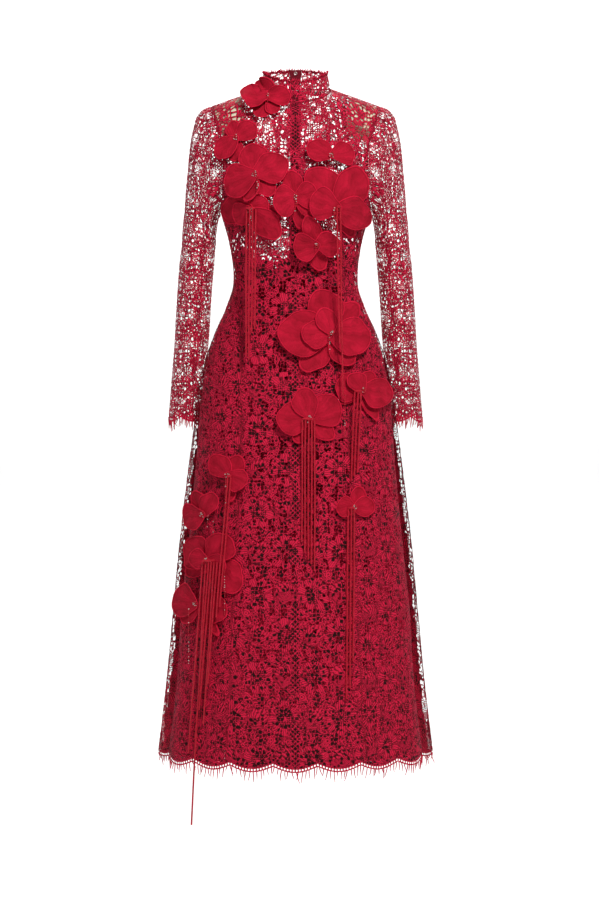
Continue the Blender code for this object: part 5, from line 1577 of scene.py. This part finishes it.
def hub_piece(flower):
    """A domed button of the same cloth at the flower's middle."""
    middle_x, middle_z, petals = FLOWERS[flower]
    low = PETAL_BASE + min(petal[3] for petal in petals) * PETAL_STEP - 0.5
    point, normal = (v[0] for v in off_front(np.array([middle_x]), np.array([middle_z]), np.zeros(1)))
    across = np.cross(normal, (0, 0, 1))
    across /= np.linalg.norm(across)
    up = np.cross(across, normal)
    points, faces = [], []
    turns = np.linspace(0, math.tau, HUB_SIDES, endpoint=False)
    top = hub_out(flower)
    profile = ((1.0, low), (1.05, top - 1.6), (0.85, top - 0.6), (0.45, top))
    for share, out in profile:
        rim = np.outer(np.cos(turns), across) + np.outer(np.sin(turns), up)
        points.append(point + normal * out * MM + rim * share * HUB_RADIUS * MM)
    starts = [HUB_SIDES * ring for ring in range(len(profile))]
    for first, second in zip(starts, starts[1:]):
        faces += ring_quads(first, second, HUB_SIDES)
    faces += [cap(0, HUB_SIDES)[::-1], cap(starts[-1], HUB_SIDES)]
    return np.concatenate(points), faces, np.zeros((HUB_SIDES * len(profile), 3))


crepe = crepe_material()
for flower, (_, _, petals) in FLOWERS.items():
    points, faces, numbers, count = [], [], [], 0
    for petal in petals + (None,):
        some, some_faces, some_numbers = petal_piece(flower, petal) if petal else hub_piece(flower)
        points.append(some)
        numbers.append(some_numbers)
        faces += [tuple(corner + count for corner in face) for face in some_faces]
        count += len(some)
    made = mesh_object(f"flower_{flower}_petals", np.concatenate(points), faces, crepe)
    numbers = np.concatenate(numbers)
    for k, name in enumerate(("fan", "fade", "roll")):
        add_numbers(made, name, numbers[:, k])
    turn_outwards(made)
    dress(made, f"flower_{flower}")

# Hanging strands: rouleau tubes of bright satin, sewn under the flower's button and left to hang over
# whatever lies below them. A short wrap of the same satin covers their roots.

STRAND_RADIUS = 1.75
STRAND_STEP = 7 * MM
STRAND_REST = 4.0  # how far a strand lies from bare lace
HEAD_HIGH = 9.0
HEAD_DEEP = 4.0
SEAM_GAP = 0.3
LEAST_FACING = 0.45  # keeps a strand near the cloth where the cloth turns away to the side
STRAND_SIDES = 10
STRAND_SWAY, SWAY_PITCH = 0.35 * MM, 0.045
WRAP_DEEP, WRAP_HIGH = 2.2 * MM, 2.8 * MM
SATIN_DARK, SATIN_LIGHT = (0.46, 0.005, 0.018, 1.0), (0.85, 0.016, 0.05, 1.0)
# Each strand: x at the top and at the end, from the flower's middle, and the end's height
STRANDS = {
    "left_low": (
        (-0.010, -0.011, -0.515), (-0.004, -0.0055, -0.522), (0.002, 0.000, -0.472),
        (0.008, 0.0055, -0.465)),
    "right_bust": (
        (0.005, 0.010, -0.492), (0.0115, 0.016, -0.590)),
    "right_hip": (
        (-0.009, -0.016, -0.750), (-0.003, -0.010, -0.742), (0.003, -0.004, -0.735)),
    "centre_hip": (
        (-0.0115, -0.013, -0.864), (-0.006, -0.0075, -0.884), (0.000, -0.001, -0.897),
        (0.006, 0.005, -0.905), (0.0115, 0.011, -0.918)),
    "right_low": (
        (-0.009, -0.013, -1.155), (-0.003, -0.0065, -1.135), (0.003, 0.000, -1.086)),
    "left_first": (
        (-0.005, -0.026, -1.005), (0.001, -0.019, -0.985)),
    "left_third": (
        (-0.016, -0.043, -1.262), (-0.0105, -0.037, -1.395), (-0.005, -0.030, -1.235),
        (0.0005, -0.022, -1.180), (0.006, -0.014, -1.205), (0.0115, -0.006, -1.130)),
}


def satin_material():
    """Bright satin cut on the bias: a soft gloss across fine slanting threads."""
    material, shade = drafted("satin")
    place = shade.place()
    across, deep, up = shade.apart(place)
    thread = shade.maths("SINE", (up * 0.8 + across + deep) * 9000.0)
    broad = shade.noise(place, 160.0, 2.0)
    light = broad * 0.7 + thread * 0.12 + 0.15
    return finish_material(
        material, Base_Color=light.ramp(0.1, 0.9).blend(SATIN_DARK, SATIN_LIGHT), Roughness=0.40,
        Specular_IOR_Level=0.25, Normal=shade.bump(thread * 0.4 + broad * 0.8, 0.3 * MM))


def front_depth(x, z, out):
    """The y that keeps places at x and z this many millimetres out from the front cloth."""
    base, normals = off_front(x, z, np.zeros_like(x))
    return base[..., 1] - out * MM / np.maximum(-normals[..., 1], LEAST_FACING)


def flower_out(x, z):
    """How far the flowers stand out from the cloth at each place, or how far a strand lies from bare
    lace."""
    out = np.full(x.shape, STRAND_REST)
    for middle_x, middle_z, petals in FLOWERS.values():
        for angle, length, width, level in petals:
            turn = math.radians(angle)
            along = ((x - middle_x) * math.cos(turn) + (z - middle_z) * math.sin(turn)) / MM
            across = ((z - middle_z) * math.cos(turn) - (x - middle_x) * math.sin(turn)) / MM
            near = np.hypot((along - length / 2) / (length / 2 + 9), across / (width / 2 + 6)) < 1
            out = np.where(near, np.maximum(out, PETAL_BASE + (level + 1) * PETAL_STEP + 2.4), out)
    return out


def hanging(x, top, end, end_x, first_out):
    """Points of something that hangs from the front and is pushed forwards by what it lies on."""
    count = max(6, round((top - end) / STRAND_STEP))
    z = np.linspace(top, end, count)
    t = np.linspace(0, 1, count)
    line_x = x + (end_x - x) * t
    y = front_depth(line_x, z, flower_out(line_x, z))
    y[0] = min(y[0], front_depth(np.array([x]), np.array([top]), first_out)[0])
    y = np.minimum.accumulate(y)
    smooth = np.convolve(np.pad(y, 3, mode="edge"), np.ones(7) / 7, mode="valid")
    return np.stack([line_x, np.minimum(y, smooth), z], -1)


def tubes(name, lines, radius, sides, material):
    """Round tubes along lines of points."""
    mesh = bpy.data.meshes.new(name + "_lines")
    points = np.concatenate(lines)
    starts = np.cumsum([0] + [len(line) for line in lines])
    edges = [(k, k + 1) for low, high in zip(starts, starts[1:]) for k in range(low, high - 1)]
    mesh.from_pydata(points.tolist(), edges, [])
    base = placed(name + "_lines", mesh)
    return grown(name, base, tube_nodes, {"Radius": radius, "Sides": sides, "Finish": material})


satin = satin_material()
tube_nodes, nodes = geometry_tree(
    "tube", (("Radius", "Float"), ("Sides", "Int")),
    {"path": "MeshToCurve", "section": "CurvePrimitiveCircle", "sweep": "CurveToMesh"},
    (("given", "Geometry", "path", "Mesh"), ("given", "Radius", "section", "Radius"),
     ("given", "Sides", "section", "Resolution"), ("path", "Curve", "sweep", "Curve"),
     ("section", "Curve", "sweep", "Profile Curve"), ("sweep", "Mesh", "whole", "Geometry")))
nodes["sweep"].inputs["Fill Caps"].default_value = True
for flower, strands in STRANDS.items():
    middle_x, middle_z, _ = FLOWERS[flower]
    top = middle_z - HEAD_HIGH / 4 * MM
    out = hub_out(flower) + SEAM_GAP + HEAD_DEEP / 2
    lines = [hanging(middle_x + start, top, end_z, middle_x + end, out) for start, end, end_z in strands]
    for k, line in enumerate(lines):
        line[:, 0] += STRAND_SWAY * np.sin(line[:, 2] / SWAY_PITCH + 1.7 * k)
    made = tubes(f"strands_{flower}_satin", lines, STRAND_RADIUS * MM, STRAND_SIDES, satin)
    starts = [start for start, _, _ in strands]
    wide = (max(starts) - min(starts)) / 2 + 1.6 * MM
    middle = sum(line[0] for line in lines) / len(lines)
    edit = bmesh.new()
    bmesh.ops.create_uvsphere(edit, u_segments=20, v_segments=12, radius=1.0)
    bmesh.ops.scale(edit, vec=(wide, WRAP_DEEP, WRAP_HIGH), verts=edit.verts)
    bmesh.ops.translate(edit, vec=(middle[0], middle[1], middle_z), verts=edit.verts)
    wrap = sculpted(f"strands_{flower}_wrap", edit, satin)
    wrap.data.polygons.foreach_set("use_smooth", [True] * len(wrap.data.polygons))
    dress(made, f"strands_{flower}")
    dress(wrap)

# Beads: small red and clear glass beads sewn in a cluster on each flower's middle, and threaded on
# short threads that hang from it.

BEAD_WIDE, BEAD_FLAT = 2.0, 0.9
BEAD_SIDES = 8
# Width and height of each ring of a bead, with its hole pressed in at both ends
BEAD_RINGS = ((0.10, 0.28), (0.26, 0.40), (0.46, 0.28), (0.50, 0.0), (0.46, -0.28), (0.26, -0.40),
              (0.10, -0.28))
CLUSTER_COUNT, CLUSTER_TURN, CLUSTER_STEP = 13, 2.4, 1.25
CLUSTER_REACH = 8.0  # bead threads nearer to the middle than this start under the cluster
THREAD_STEP, THREAD_RADIUS, THREAD_SIDES = 4.4, 0.3, 5
RED_BEADS = ((0.42, 0.004, 0.010, 1.0), (0.85, 0.05, 0.07, 1.0))
CLEAR_BEADS = ((0.50, 0.34, 0.30, 1.0), (0.88, 0.80, 0.78, 1.0))
CLEAR_SHARE = 0.3
# Bead threads of each flower: x from its middle, length, in millimetres
BEAD_THREADS = {
    "left_bust": ((0.5, 34), (3.0, 24)),
    "left_low": ((0.3, 44), (-2.5, 26)),
    "centre_bust": ((-1.5, 26), (2.0, 16)),
    "right_bust": ((1.3, 46), (-2.0, 38), (4.0, 24)),
    "waist": ((1.0, 33), (-2.5, 22)),
    "right_hip": ((2.4, 18), (-27.7, 93)),
    "centre_hip": ((0.7, 14), (-2.0, 10)),
    "centre_low": ((0.9, 14), (-1.5, 9)),
    "left_first": ((-0.7, 22), (-9.0, 68)),
    "left_second": ((-1.0, 22), (10.4, 38)),
    "left_third": ((-0.3, 60), (26.0, 102)),
    "left_fourth": ((-1.0, 20), (-21.5, 112)),
    "collar": ((0.5, 9),),
    "shoulder": ((-0.5, 8),),
    "right_high": ((-0.5, 8), (2.0, 12)),
    "right_low": ((0.5, 12),),
}


def bead_material():
    """Small glass beads, red or clear by the bead's own tint, with a hard gloss."""
    material, shade = drafted("glass beads")
    cloud = shade.noise(shade.place(), 900.0, 2.0)
    red, clear = (cloud.ramp(0.2, 0.8).blend(*colours) for colours in (RED_BEADS, CLEAR_BEADS))
    return finish_material(
        material, Base_Color=shade.number("tint").ramp(0.49, 0.51).blend(red, clear), Roughness=0.08,
        Coat_Weight=0.8, Coat_Roughness=0.04)


def bead_shape(material):
    """A bead a metre across, a little flattened."""
    turns = [math.tau * k / BEAD_SIDES for k in range(BEAD_SIDES)]
    points = [(radius * math.cos(turn), radius * math.sin(turn), high)
              for radius, high in BEAD_RINGS for turn in turns]
    faces = []
    for ring in range(len(BEAD_RINGS) - 1):
        faces += ring_quads(BEAD_SIDES * (ring + 1), BEAD_SIDES * ring, BEAD_SIDES)
    return mesh_object("bead", np.array(points), faces, material)


glass = bead_material()
bead = bead_shape(glass)
for flower, (middle_x, middle_z, _) in FLOWERS.items():
    out = hub_out(flower)
    places, lines = [], []
    for k in range(CLUSTER_COUNT):
        reach, turn = CLUSTER_STEP * math.sqrt(k + 0.3), CLUSTER_TURN * k
        x = np.array([middle_x + reach * math.cos(turn) * MM])
        z = np.array([middle_z + reach * math.sin(turn) * MM * 1.25])
        places.append(off_front(x, z, np.array([out + 1.2 - 0.06 * reach**2]))[0][0])
    for offset, length in BEAD_THREADS[flower]:
        near = abs(offset) < CLUSTER_REACH
        start = middle_x + offset * (0.3 if near else 1.0) * MM
        top = middle_z - (0.0 if near else 6.0) * MM
        line = hanging(start, top, middle_z - length * MM, middle_x + offset * MM, out + 1.0)
        lines.append(line)
        walked = walk(line)
        along = np.arange(2 * MM, walked[-1], THREAD_STEP * MM)
        along = (along + dice.normal(0, 0.7 * MM, len(along)))[dice.random(len(along)) > 0.2]
        places += list(points_at(line, walked, along))
    count = len(places)
    sizes = dice.uniform(0.85, 1.35, count)[:, None] * BEAD_WIDE * MM * np.array([[1.0, 1.0, BEAD_FLAT]])
    turns = np.stack([dice.uniform(-0.6, 0.6, count), dice.uniform(-0.6, 0.6, count),
                      dice.uniform(0, math.tau, count)], -1)
    tints = (dice.random(count) < CLEAR_SHARE).astype(np.float32)
    dress(scattered(f"beads_{flower}", places, turns, sizes, bead, glass, tints))
    dress(tubes(f"bead_threads_{flower}", lines, THREAD_RADIUS * MM, THREAD_SIDES, satin))
bpy.data.objects.remove(bead, do_unlink=True)

# The stage: a plain pale floor that curves up into a backdrop, under faint daylight from all round. The
# key lamp stands in front and above, with a weak wide fill at its left and one lamp for the backdrop.
# The camera stands level, in front of the tunic.

FLOOR_Z = -2.4
STAGE_HALF = 8.0
STAGE_BACK = 6.5
STAGE_FRONT = -8.0
STAGE_HIGH = 6.0
STAGE_ROUND = 1.6
STAGE_STEPS = 24
PAPER_LIGHT, PAPER_DARK = (0.93, 0.93, 0.93, 1.0), (0.90, 0.90, 0.90, 1.0)

material, shade = drafted("pale paper")
grain = shade.noise(shade.place(), 60.0, 3.0)
paper = finish_material(material, Base_Color=(grain * 0.3).blend(PAPER_LIGHT, PAPER_DARK), Roughness=0.9)
profile = [(STAGE_FRONT, 0.0)]
for k in range(STAGE_STEPS + 1):
    turn = math.pi / 2 * k / STAGE_STEPS
    profile.append((STAGE_BACK + STAGE_ROUND * (math.sin(turn) - 1), STAGE_ROUND * (1 - math.cos(turn))))
profile.append((STAGE_BACK, STAGE_HIGH))
points = [(side * STAGE_HALF, y, FLOOR_Z + z) for side in (-1, 1) for y, z in profile]
count = len(profile)
faces = [(k, k + count, k + count + 1, k + 1) for k in range(count - 1)]
floor = mesh_object("floor", np.array(points), faces, paper)
floor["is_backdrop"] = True

DAYLIGHT = 0.20
world = bpy.data.worlds.new("soft daylight")
bpy.context.scene.world = world
world.use_nodes = True
sky = world.node_tree.nodes["Background"]
sky.inputs["Color"].default_value = (1.0, 1.0, 1.0, 1.0)
sky.inputs["Strength"].default_value = DAYLIGHT

# Lamp: place, what it faces, width and height, power
LAMPS = {
    "key": ((1.0, -2.9, 2.0), (0.0, 0.0, -0.80), 0.6, 0.6, 99.0),
    "fill": ((-2.6, -2.9, 0.2), (0.0, 0.0, -0.7), 1.6, 2.2, 6.0),
    "backdrop": ((0.0, 3.9, 4.4), (0.0, 5.9, -0.7), 7.0, 1.6, 460.0),
}
for name, (place, target, wide, high, power) in LAMPS.items():
    lamp = bpy.data.lights.new(name, "AREA")
    lamp.shape = "RECTANGLE"
    lamp.size = wide
    lamp.size_y = high
    lamp.energy = power
    stand = placed(name, lamp)
    stand.location = place
    stand.rotation_euler = (Vector(target) - Vector(place)).to_track_quat("-Z", "Y").to_euler()

CAMERA_PLACE = (0.0088, -3.5, -0.69225)
CAMERA_LENS, CAMERA_SENSOR = 71.8, 36.0
lens = bpy.data.cameras.new("camera")
lens.lens = CAMERA_LENS
lens.sensor_width = CAMERA_SENSOR
camera = placed("camera", lens)
camera.location = CAMERA_PLACE
camera.rotation_euler = (math.pi / 2, 0.0, 0.0)
bpy.context.scene.camera = camera
bpy.context.scene.view_settings.view_transform = "Standard"

low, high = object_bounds()
